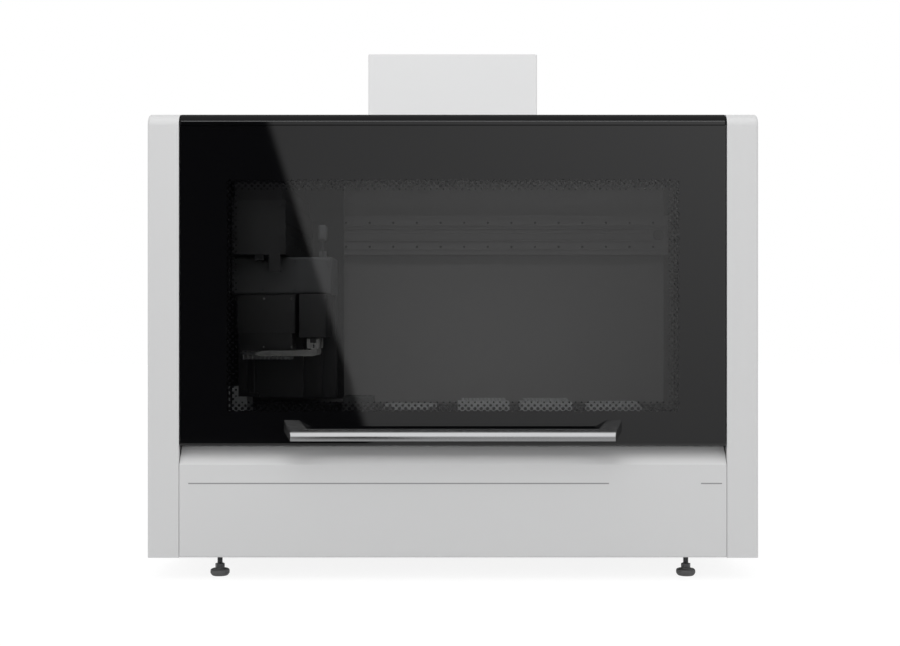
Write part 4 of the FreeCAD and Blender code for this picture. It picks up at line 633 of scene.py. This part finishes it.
def makeFeet():
    pads = bmesh.new()
    for k in range(4):
        low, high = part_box(f"foot_stem_{k + 1}")
        centre = Vector(((low.x + high.x) / 2, (low.y + high.y) / 2, 0))
        lathe(pads, inMetres(footLook["pad"]), centre, steps=footLook["padSteps"])
        start = low.z / mm + footLook["hexagon"] + footLook["clear"]
        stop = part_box("base_pan")[0].z / mm + footLook["panWall"]
        profile = [(footLook["core"], start), (footLook["root"], start)]
        for number in range(round((stop - start) / footLook["pitch"])):
            level = start + number * footLook["pitch"]
            profile += [(radius, level + up) for radius, up in footLook["turn"]]
        profile.append((footLook["core"], profile[-1][1]))
        mesh = bmesh.new()
        lathe(mesh, inMetres(profile), centre, steps=footLook["threadSteps"], loop=True)
        newPiece(f"foot_thread_{k + 1}", mesh, f"foot_{k + 1}", "dark_steel")
    item = newPiece("moulded_foot_pads", pads, "root", "rubber")
    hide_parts("foot_pads")


makeFeet()
print("groove and feet made")

# screw heads along the rim of the faces that carry them: body, node, face, columns, rows, distance from the
# edge, radius, height and slot
screwRows = {
    "rear_panel_screws": ("root", "rear_panel", "+y", 6, 5, 0.014, 0.0045, 0.0022, "bright_steel"),
    "top_panel_screws": ("root", "top_panel", "+z", 6, 4, 0.012, 0.0045, 0.0014, "bright_steel"),
    "base_pan_screws": ("root", "base_pan", "-z", 5, 4, 0.022, 0.0045, 0.0022, "bright_steel"),
    "roof_unit_screws_left": ("root", "filter_housing", "-x", 4, 2, 0.014, 0.0035, 0.0006, "bright_steel"),
    "roof_unit_screws_right": ("root", "filter_housing", "+x", 4, 2, 0.014, 0.0035, 0.0006, "bright_steel"),
    "roof_unit_screws_rear": ("root", "filter_housing", "+y", 2, 2, 0.014, 0.0035, 0.0012, "bright_steel"),
    "connector_screws": ("root", "connector_panel", "+y", 2, 2, 0.004, 0.0018, 0.0009, "bright_steel"),
    "end_cap_screws": ("x_carriage", "y_arm_end_cap", "-y", 2, 3, 0.010, 0.0030, 0.0016, "dark_steel"),
    "cover_screws": ("x_carriage", "x_carriage", "-y", 5, 5, 0.012, 0.0028, 0.0012, "dark_steel"),
    "housing_screws": ("y_carriage", "carriage_housing", "-y", 4, 2, 0.010, 0.0026, 0.0012, "dark_steel"),
    "head_screws": ("head", "head_housing", "-y", 3, 2, 0.009, 0.0022, 0.0010, "bright_steel"),
    "gripper_screws": ("gripper", "gripper_module", "+x", 2, 2, 0.012, 0.0024, 0.0010, "dark_steel"),
    "x_motor_screws": ("root", "x_drive_motor", "+y", 2, 2, 0.0065, 0.0024, 0.0020, "bright_steel"),
    "y_motor_screws": ("x_carriage", "y_drive_motor", "+y", 2, 2, 0.0065, 0.0024, 0.0020, "bright_steel"),
    "lamp_screws": ("root", "chamber_lamp", "-z", 5, 2, 0.005, 0.0016, 0.0008, "bright_steel"),
}


def makeScrews():
    for name, (body, node, face, across, up, edge, radius, height, slot) in screwRows.items():
        mesh = bmesh.new()
        for place in facePlaces(node, face, across, up, edge):
            screwHead(mesh, place, face[1], radius, height if face[0] == "+" else -height)
        newPiece(name, mesh, body, slot)


makeScrews()
print("screws set")

# deck: plate stations on a fixed pitch, and what stands on them
deck = {"firstX": -0.375, "pitchX": 0.150, "firstY": -0.2375, "pitchY": 0.125, "seat": 0.2925,
        "plate": Vector((0.12776, 0.08548, 0)), "wellPitch": 0.009, "wellColumns": 12, "wellRows": 8}


def station(column, row):
    return Vector((deck["firstX"] + column * deck["pitchX"], deck["firstY"] + row * deck["pitchY"],
                   deck["seat"]))


# the places of a plate's wells about its middle, across and in depth
acrossWells, depthWells = [[(k - (count - 1) / 2) * deck["wellPitch"] for k in range(count)]
                           for count in (deck["wellColumns"], deck["wellRows"])]


def wells():
    return [Vector((x, y, 0)) for x in acrossWells for y in depthWells]


# a step straight up
def rise(height):
    return Vector((0, 0, height))


tipRack = {"stations": ((3, 3), (4, 3), (5, 2)), "tipTop": 0.0500, "plate": 0.0440, "skirt": 0.009,
           "skirtRound": 0.0012, "inset": 0.0016, "round": 0.002, "collar": 0.0036, "collarFoot": 0.003,
           "collarLevel": 0.003, "bore": 0.0027, "boreFoot": 0.00243, "boreLevel": 0.001, "sink": 0.0005,
           "steps": 10, "rib": 0.0011, "ribHalf": 0.0009, "ribSink": 0.0003, "ribFoot": 0.010, "ribHead": 0.004}


def makeTipRacks():
    mesh = bmesh.new()
    half = deck["plate"] / 2
    body = half - Vector((tipRack["inset"], tipRack["inset"], 0))
    top, tipTop = tipRack["plate"], tipRack["tipTop"]
    tip = ((0, top + tipRack["boreLevel"]), (tipRack["boreFoot"], top + tipRack["boreLevel"]),
           (tipRack["bore"], tipTop), (tipRack["collar"], tipTop),
           (tipRack["collar"], top + tipRack["collarLevel"]),
           (tipRack["collarFoot"], top - tipRack["sink"]), (0, top - tipRack["sink"]))
    for column, row in tipRack["stations"]:
        seat = station(column, row)
        block(mesh, seat - half, seat + half + rise(tipRack["skirt"]), tipRack["skirtRound"])
        block(mesh, seat - body, seat + body + rise(top), tipRack["round"])
        for across in acrossWells:
            for side in (-1, 1):
                x = seat.x + across
                y = seat.y + side * (body.y + tipRack["rib"] / 2 - tipRack["ribSink"])
                block(mesh, (x - tipRack["ribHalf"], y - tipRack["rib"] / 2, seat.z + tipRack["ribFoot"]),
                      (x + tipRack["ribHalf"], y + tipRack["rib"] / 2, seat.z + top - tipRack["ribHead"]))
        for well in wells():
            lathe(mesh, tip, seat + well, steps=tipRack["steps"])
    item = newPiece("racks_of_tips", mesh, "root", "pale_plastic")
    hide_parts("tip_racks")


makeTipRacks()

plates = {"flat": ((0, 0), (1, 0), (4, 1), (5, 0)), "deep": ((2, 0), (3, 0)),
          "shaken": Vector((-0.101, 0.1375, 0.3165)), "flatHeight": 0.0144, "deepHeight": 0.041,
          "flange": 0.0025, "flangeRound": 0.0008, "inset": 0.0012, "round": 0.0012, "rim": 0.0012,
          "rimSink": 0.0002, "wellOuter": 0.0040, "wellInner": 0.0034, "wellSteps": 12, "deepWall": 0.0009,
          "deepWell": 0.007, "wallSink": 0.0005}


def makePlates():
    mesh = bmesh.new()
    half = deck["plate"] / 2
    body = half - Vector((plates["inset"], plates["inset"], 0))
    flat = [station(*place) for place in plates["flat"]] + [plates["shaken"]]
    deep = [station(*place) for place in plates["deep"]]
    for seat in flat + deep:
        block(mesh, seat - half, seat + half + rise(plates["flange"]), plates["flangeRound"])
    for seat in flat:
        level = plates["flatHeight"] - plates["rim"]
        block(mesh, seat - body, seat + body + rise(level), plates["round"])
        for well in wells():
            tube(mesh, seat + well + rise(level - plates["rimSink"]), plates["wellOuter"],
                 plates["wellInner"], plates["rim"] + plates["rimSink"], steps=plates["wellSteps"])
    reachX, reachY = [deck[count] / 2 * deck["wellPitch"] for count in ("wellColumns", "wellRows")]
    wall = plates["deepWall"] / 2
    for seat in deep:
        level = plates["deepHeight"] - plates["deepWell"]
        block(mesh, seat - body, seat + body + rise(level), plates["round"])
        base, top = seat.z + level - plates["wallSink"], seat.z + plates["deepHeight"]
        for k in range(deck["wellColumns"] + 1):
            x = seat.x - reachX + k * deck["wellPitch"]
            block(mesh, (x - wall, seat.y - reachY, base), (x + wall, seat.y + reachY, top))
        for k in range(deck["wellRows"] + 1):
            y = seat.y - reachY + k * deck["wellPitch"]
            block(mesh, (seat.x - reachX, y - wall, base), (seat.x + reachX, y + wall, top))
    item = newPiece("well_plates", mesh, "root", "pale_plastic")
    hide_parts("microplates")


makePlates()

# heating block with rows of tube holes, clamps of the shaker, and the deck's screws between the stations
heater = {"low": Vector((-0.262, 0.105, 0.349)), "high": Vector((-0.190, 0.170, 0.349)), "columns": 5,
          "rows": 5, "edge": 0.010, "outer": 0.0052, "inner": 0.0042, "proud": 0.0008}
shaker = {"post": 0.006, "gap": 0.0008, "height": 0.010, "lever": 0.018, "corner": 0.012, "sink": 0.002,
          "round": 0.001}
deckScrews = {"columns": 7, "rows": 5, "plate": 0.012, "radius": 0.0022, "height": 0.0010}


def makeDeckDetails():
    mesh = bmesh.new()
    inset = Vector((heater["edge"], heater["edge"], 0))
    span = heater["high"] - heater["low"] - 2 * inset
    for a in range(heater["columns"]):
        for b in range(heater["rows"]):
            step = Vector((span.x * a / (heater["columns"] - 1), span.y * b / (heater["rows"] - 1), 0))
            tube(mesh, heater["low"] + inset + step, heater["outer"], heater["inner"], heater["proud"])
    newPiece("heating_block_rims", mesh, "root", "grey_plastic")
    mesh = bmesh.new()
    corner = deck["plate"] / 2
    centre = plates["shaken"]
    for a in (-1, 1):
        for b in (-1, 1):
            x = centre.x + a * (corner.x - shaker["corner"])
            y = centre.y + b * (corner.y + shaker["gap"] + shaker["post"] / 2)
            block(mesh, (x - shaker["lever"] / 2, y - shaker["post"] / 2, centre.z - shaker["sink"]),
                  (x + shaker["lever"] / 2, y + shaker["post"] / 2, centre.z + shaker["height"]),
                  shaker["round"])
    newPiece("shaker_clamps", mesh, "root", "grey_plastic")
    mesh = bmesh.new()
    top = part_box("deck_plate")[0].z + deckScrews["plate"]
    for column in range(deckScrews["columns"]):
        for row in range(deckScrews["rows"]):
            place = station(column - 0.5, row - 0.5)
            screwHead(mesh, (place.x, place.y, top), "z", deckScrews["radius"], deckScrews["height"])
    newPiece("deck_screws", mesh, "root", "bright_steel")


makeDeckDetails()
print("deck laid out")

# nozzle head: stepped cones that take the tips, each with its groove, in millimetres
nozzleLook = {"profile": ((0, 0), (1.2, 0), (1.7, 0.7), (1.8, 3.4), (1.55, 3.7), (1.55, 4.5), (1.85, 4.8),
                          (2.0, 7.6), (2.6, 8.4), (2.6, 18.9), (0, 18.9)), "steps": 12}


def makeNozzles():
    mesh = bmesh.new()
    low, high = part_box("nozzles")
    middle = Vector(((low.x + high.x) / 2, (low.y + high.y) / 2, low.z))
    for well in wells():
        lathe(mesh, inMetres(nozzleLook["profile"]), middle + well, steps=nozzleLook["steps"])
    item = newPiece("tip_nozzles", mesh, "head", "clear_anodised")
    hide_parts("nozzles")


makeNozzles()

# gripper: rubber pads on the fingers, and two screws through each leg
fingerLook = {"padLength": 0.060, "padHeight": 0.008, "padThick": 0.0009, "padInset": 0.002,
              "padRound": 0.0003, "wall": 0.0033, "screwX": -0.298, "levels": (0.474, 0.4785),
              "radius": 0.0017, "height": 0.0008}


def makeFingerDetails():
    for name, body, inward in (("front", "front_jaw", 1), ("rear", "rear_jaw", -1)):
        low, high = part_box(f"{name}_finger")
        outside = low.y if inward > 0 else high.y
        mesh = bmesh.new()
        for level in fingerLook["levels"]:
            screwHead(mesh, (fingerLook["screwX"], outside, level), "y", fingerLook["radius"],
                      -inward * fingerLook["height"])
        newPiece(f"{name}_finger_screws", mesh, body, "dark_steel")
        mesh = bmesh.new()
        face = outside + inward * fingerLook["wall"]
        start, stop = sorted((face, face + inward * fingerLook["padThick"]))
        x, z = low.x + fingerLook["padInset"], low.z + fingerLook["padInset"]
        block(mesh, (x, start, z), (x + fingerLook["padLength"], stop, z + fingerLook["padHeight"]),
              fingerLook["padRound"], 1)
        newPiece(f"{name}_finger_pad", mesh, body, "rubber")


makeFingerDetails()

# the cases of the gripper and the head: the node that each stands for, its body and the width of its edges
cases = {"gripper_case": ("gripper_module", "gripper", 0.0015), "head_case": ("head_housing", "head", 0.0006)}
for name, (node, body, width) in cases.items():
    brokenEdges(name, node, body, "grey_plastic", width, headBlack)

# fittings on the right of the carriage: a sensor on a post, a clip and a ring
fittings = {"x": -0.2845, "y": -0.185, "sensorX": 0.0095, "sensorY": 0.012, "sensorFoot": 0.7060,
            "sensorTop": 0.7400, "sensorRound": 0.005, "clip": 0.0075, "clipFoot": 0.6690, "clipTop": 0.6830,
            "jaw": 0.003, "jawPlace": 0.0045, "jawRound": 0.0012, "bridge": 0.00375, "bridgeFoot": 0.6740,
            "bridgeTop": 0.6780, "bridgeRound": 0.0008, "post": 0.0035, "flange": 0.007, "flangeTop": 0.003,
            "neck": 0.0045, "sink": 0.0004, "intoSensor": 0.003, "ringX": -0.2650, "ringZ": 0.6515,
            "ringOuter": 0.0050, "ringInner": 0.0030, "ringDepth": 0.0024}


def makeFittings():
    housingLow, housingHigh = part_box("carriage_housing")
    x, y = fittings["x"], fittings["y"]
    mesh = bmesh.new()
    block(mesh, (x - fittings["sensorX"], y - fittings["sensorY"], fittings["sensorFoot"]),
          (x + fittings["sensorX"], y + fittings["sensorY"], fittings["sensorTop"]),
          fittings["sensorRound"], 3)
    clip = fittings["clip"]
    for side in (-1, 1):
        middle = x + side * fittings["jawPlace"]
        block(mesh, (middle - fittings["jaw"], y - clip, fittings["clipFoot"]),
              (middle + fittings["jaw"], y + clip, fittings["clipTop"]), fittings["jawRound"])
    block(mesh, (x - clip, y - fittings["bridge"], fittings["bridgeFoot"]),
          (x + clip, y + fittings["bridge"], fittings["bridgeTop"]), fittings["bridgeRound"])
    newPiece("carriage_sensor", mesh, "y_carriage", "grey_plastic")
    mesh = bmesh.new()
    top = fittings["sensorFoot"] - housingHigh.z + fittings["intoSensor"]
    lathe(mesh, ((0, 0), (fittings["flange"], 0), (fittings["flange"], fittings["flangeTop"]),
                 (fittings["post"], fittings["neck"]), (fittings["post"], top), (0, top)),
          (x, y, housingHigh.z - fittings["sink"]), steps=16)
    tube(mesh, (fittings["ringX"], housingLow.y + fittings["sink"], fittings["ringZ"]), fittings["ringOuter"],
         fittings["ringInner"], -fittings["ringDepth"], "y")
    newPiece("carriage_post_and_ring", mesh, "y_carriage", "dark_steel")


makeFittings()

# gantry: bolt heads sunk in the rails, teeth on the belt, and plates on the arm's sides
bolts = {"pitch": 0.060, "ends": 0.03, "radius": 0.0032, "proud": 0.0001, "sink": 0.0002, "steps": 14,
         "edge": 0.0075}
teeth = {"pitch": 0.005, "height": 0.0009, "inside": 0.002, "sink": 0.0002, "side": 0.0005, "bend": 0.036}
armPlate = {"thick": 0.0008, "round": 0.0003, "front": 0.012, "rear": 0.060, "foot": 0.005, "share": 0.4,
            "head": 0.003, "screws": 6, "screwStart": 0.024, "screwPitch": 0.092, "radius": 0.0030,
            "height": 0.0014}


# a row of bolts along a rail, whose face looks down the axis
def boltRow(mesh, start, stop, axis, place):
    count = int((stop - start - bolts["ends"]) / bolts["pitch"])
    profile = ((0, bolts["sink"]), (bolts["radius"], bolts["sink"]), (bolts["radius"], -bolts["proud"]),
               (0, -bolts["proud"]))
    for k in range(count + 1):
        along = (start + stop) / 2 + (k - count / 2) * bolts["pitch"]
        lathe(mesh, profile, place(along), axis, bolts["steps"])


def makeRailBolts():
    low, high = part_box("x_rails")
    mesh = bmesh.new()
    for level in (low.z + bolts["edge"], high.z - bolts["edge"]):
        boltRow(mesh, low.x, high.x, "y", lambda x: (x, low.y, level))
    newPiece("x_rail_bolts", mesh, "root", "dark_plastic")
    low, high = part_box("y_rail")
    mesh = bmesh.new()
    boltRow(mesh, low.y, high.y, "z", lambda y: ((low.x + high.x) / 2, y, low.z))
    newPiece("y_rail_bolts", mesh, "x_carriage", "dark_plastic")


def makeBeltTeeth():
    low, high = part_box("x_belt")
    mesh = bmesh.new()
    start, stop = low.x + teeth["bend"], high.x - teeth["bend"]
    for level, up in ((low.z + teeth["inside"], 1), (high.z - teeth["inside"], -1)):
        bottom, top = sorted((level - up * teeth["sink"], level + up * teeth["height"]))
        for k in range(int((stop - start) / teeth["pitch"])):
            x = start + k * teeth["pitch"]
            block(mesh, (x, low.y + teeth["side"], bottom),
                  (x + teeth["pitch"] / 2, high.y - teeth["side"], top))
    newPiece("belt_teeth", mesh, "root", "rubber")


def makeArmPlates():
    low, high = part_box("y_arm")
    mesh = bmesh.new()
    screws = bmesh.new()
    foot = low.z + armPlate["foot"]
    head = low.z + (high.z - low.z) * armPlate["share"] - armPlate["head"]
    for x, side in ((low.x, -1), (high.x, 1)):
        outside = x + side * armPlate["thick"]
        start, stop = sorted((x, outside))
        block(mesh, (start, low.y + armPlate["front"], foot), (stop, high.y - armPlate["rear"], head),
              armPlate["round"], 1)
        for k in range(armPlate["screws"]):
            y = low.y + armPlate["screwStart"] + k * armPlate["screwPitch"]
            screwHead(screws, (outside, y, (foot + head) / 2), "x", armPlate["radius"],
                      side * armPlate["height"])
    newPiece("arm_side_plates", mesh, "x_carriage", "dark_anodised")
    newPiece("arm_side_screws", screws, "x_carriage", "dark_steel")


makeRailBolts()
makeBeltTeeth()
makeArmPlates()
print("gantry dressed")

# sockets at the back: a bright shell round each mouth, and a row of contacts inside
sockets = {"middle": -0.380, "level": 0.120, "pitch": 0.018, "mouth": 0.010, "shell": 0.0007, "proud": 0.0006,
           "sink": 0.001, "contacts": 6, "contactPitch": 0.0013, "contactHalf": 0.0003, "contactFront": 0.002,
           "contactBack": 0.014, "contactFoot": 0.0004, "contactHead": 0.0014}


def makeSockets():
    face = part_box("connector_panel")[1].y
    shells = bmesh.new()
    contacts = bmesh.new()
    half, wall = sockets["mouth"] / 2, sockets["shell"]
    inner, outer = face - sockets["sink"], face + sockets["proud"]
    for k in (-1, 0, 1):
        x, z = sockets["middle"] + k * sockets["pitch"], sockets["level"]
        for side in (-1, 1):
            low, high = sorted((side * half, side * (half + wall)))
            block(shells, (x + low, inner, z - half - wall), (x + high, outer, z + half + wall))
            block(shells, (x - half, inner, z + low), (x + half, outer, z + high))
        for place in range(sockets["contacts"]):
            across = x + (place - (sockets["contacts"] - 1) / 2) * sockets["contactPitch"]
            block(contacts, (across - sockets["contactHalf"], face - sockets["contactBack"],
                             z - half + sockets["contactFoot"]),
                  (across + sockets["contactHalf"], face - sockets["contactFront"],
                   z - half + sockets["contactHead"]))
    newPiece("socket_shells", shells, "root", "bright_steel")
    newPiece("socket_contacts", contacts, "root", "bright_steel")


makeSockets()
print("sockets fitted")

# light: an even white room, a soft lamp above, the lamp in the chamber, a small one over the waste bin, and a
# board that the door reflects
light = {"room": 0.86, "lamp": 20, "lampSize": (3.2, 3.2), "lampPlace": (-0.6, -2.2, 3.6),
         "lampTarget": (0, 0, 0.5), "chamber": 1.2, "chamberSize": (0.95, 0.02), "chamberGap": 0.003,
         "bin": 0.12, "binSize": (0.05, 0.05), "binPlace": (-0.52, -0.20, 0.62),
         "binTarget": (-0.52, 0.12, 0.36)}
board = {"y": -3.4, "low": (-1.7, 0.004), "high": (1.9, 1.45), "edgeTop": (-0.770, 1.367),
         "edgeFoot": (-0.338, 0.003), "soft": 0.045, "dark": 0.012, "bright": 0.72, "gain": 0.40,
         "gainFrom": -0.765, "gainSpan": 1.9}
softbox = {"near": (-0.5, 4.4), "far": (-4.8, 1.9), "half": 3.4, "glow": 2.6}
floorLook = {"colour": (0.86, 0.86, 0.86, 1), "glow": 1.12, "share": 0.78, "size": 14}


def makeWorld():
    world = bpy.data.worlds.new("whiteRoom")
    world.use_nodes = True
    scene.world = world
    shader = Shader(world.node_tree)
    strength = light["room"] + shader.seen() * (1 - light["room"])
    backdrop = shader.add("ShaderNodeBackground", sockets={"Color": (1, 1, 1, 1), "Strength": strength})
    output = world.node_tree.nodes.new("ShaderNodeOutputWorld")
    world.node_tree.links.new(backdrop.socket, output.inputs[0])


def stagePiece(name, corners, material):
    mesh = bmesh.new()
    mesh.faces.new([mesh.verts.new(corner) for corner in corners])
    data = bpy.data.meshes.new(name)
    mesh.to_mesh(data)
    mesh.free()
    item = bpy.data.objects.new(name, data)
    scene.collection.objects.link(item)
    data.materials.append(material)
    return item


def makeFloor():
    material, shader = newMaterial("floorWhite")
    plain = shader.add("ShaderNodeBsdfDiffuse", sockets={"Color": floorLook["colour"]})
    glow = shader.add("ShaderNodeEmission", sockets={"Strength": floorLook["glow"]})
    shader.surface(shader.mixShader(shader.seen() * floorLook["share"], plain, glow))
    size = floorLook["size"]
    stagePiece("floor", ((-size, -size, 0), (size, -size, 0), (size, size, 0), (-size, size, 0)), material)


# stage pieces that show in reflections alone
def onlyReflected(item):
    for name in ("camera", "diffuse", "transmission", "shadow", "volume_scatter"):
        setattr(item, "visible_" + name, False)


def makeBoard():
    material, shader = newMaterial("boardGlow")
    x, z = shader.axes()[::2]
    (left, low), (right, high) = board["low"], board["high"]
    (topX, topZ), (footX, footZ) = board["edgeTop"], board["edgeFoot"]
    lean = (topX - footX) / (topZ - footZ)
    across = x - footX - (z - footZ) * lean
    past = shader.add("ShaderNodeMapRange", {"interpolation_type": "SMOOTHSTEP"},
                      {0: across, 1: -board["soft"] / 2, 2: board["soft"] / 2})
    bright = board["bright"] + ((x - board["gainFrom"]) / board["gainSpan"]) * (z / topZ) * board["gain"]
    level = board["dark"] + past * (bright - board["dark"])
    shader.surface(shader.add("ShaderNodeEmission", sockets={"Strength": level}))
    y = board["y"]
    onlyReflected(stagePiece("reflected_board", ((left, y, low), (right, y, low), (right, y, high),
                                                 (left, y, high)), material))


# a bright sheet over the front: it draws the light line along the handle
def makeSoftbox():
    material, shader = newMaterial("softboxGlow")
    shader.surface(shader.add("ShaderNodeEmission", sockets={"Strength": softbox["glow"]}))
    (nearY, nearZ), (farY, farZ) = softbox["near"], softbox["far"]
    half = softbox["half"]
    onlyReflected(stagePiece("softbox", ((-half, farY, farZ), (half, farY, farZ), (half, nearY, nearZ),
                                         (-half, nearY, nearZ)), material))


def makeLamp(name, place, target, energy, size):
    data = bpy.data.lights.new(name, "AREA")
    data.shape = "RECTANGLE"
    data.size, data.size_y = size
    data.energy = energy
    item = bpy.data.objects.new(name, data)
    item.location = place
    item.rotation_euler = (Vector(target) - Vector(place)).to_track_quat("-Z", "Y").to_euler()
    item.visible_glossy = False
    item.visible_camera = False
    scene.collection.objects.link(item)


makeWorld()
makeFloor()
makeBoard()
makeSoftbox()
makeLamp("softLamp", light["lampPlace"], light["lampTarget"], light["lamp"], light["lampSize"])
lampLow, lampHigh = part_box("chamber_lamp")
lampY = (lampLow.y + lampHigh.y) / 2
makeLamp("chamberLight", (0, lampY, lampLow.z - light["chamberGap"]), (0, lampY, 0), light["chamber"],
         light["chamberSize"])
makeLamp("binLight", light["binPlace"], light["binTarget"], light["bin"], light["binSize"])
scene.view_settings.view_transform = "Standard"
print("room and light made")
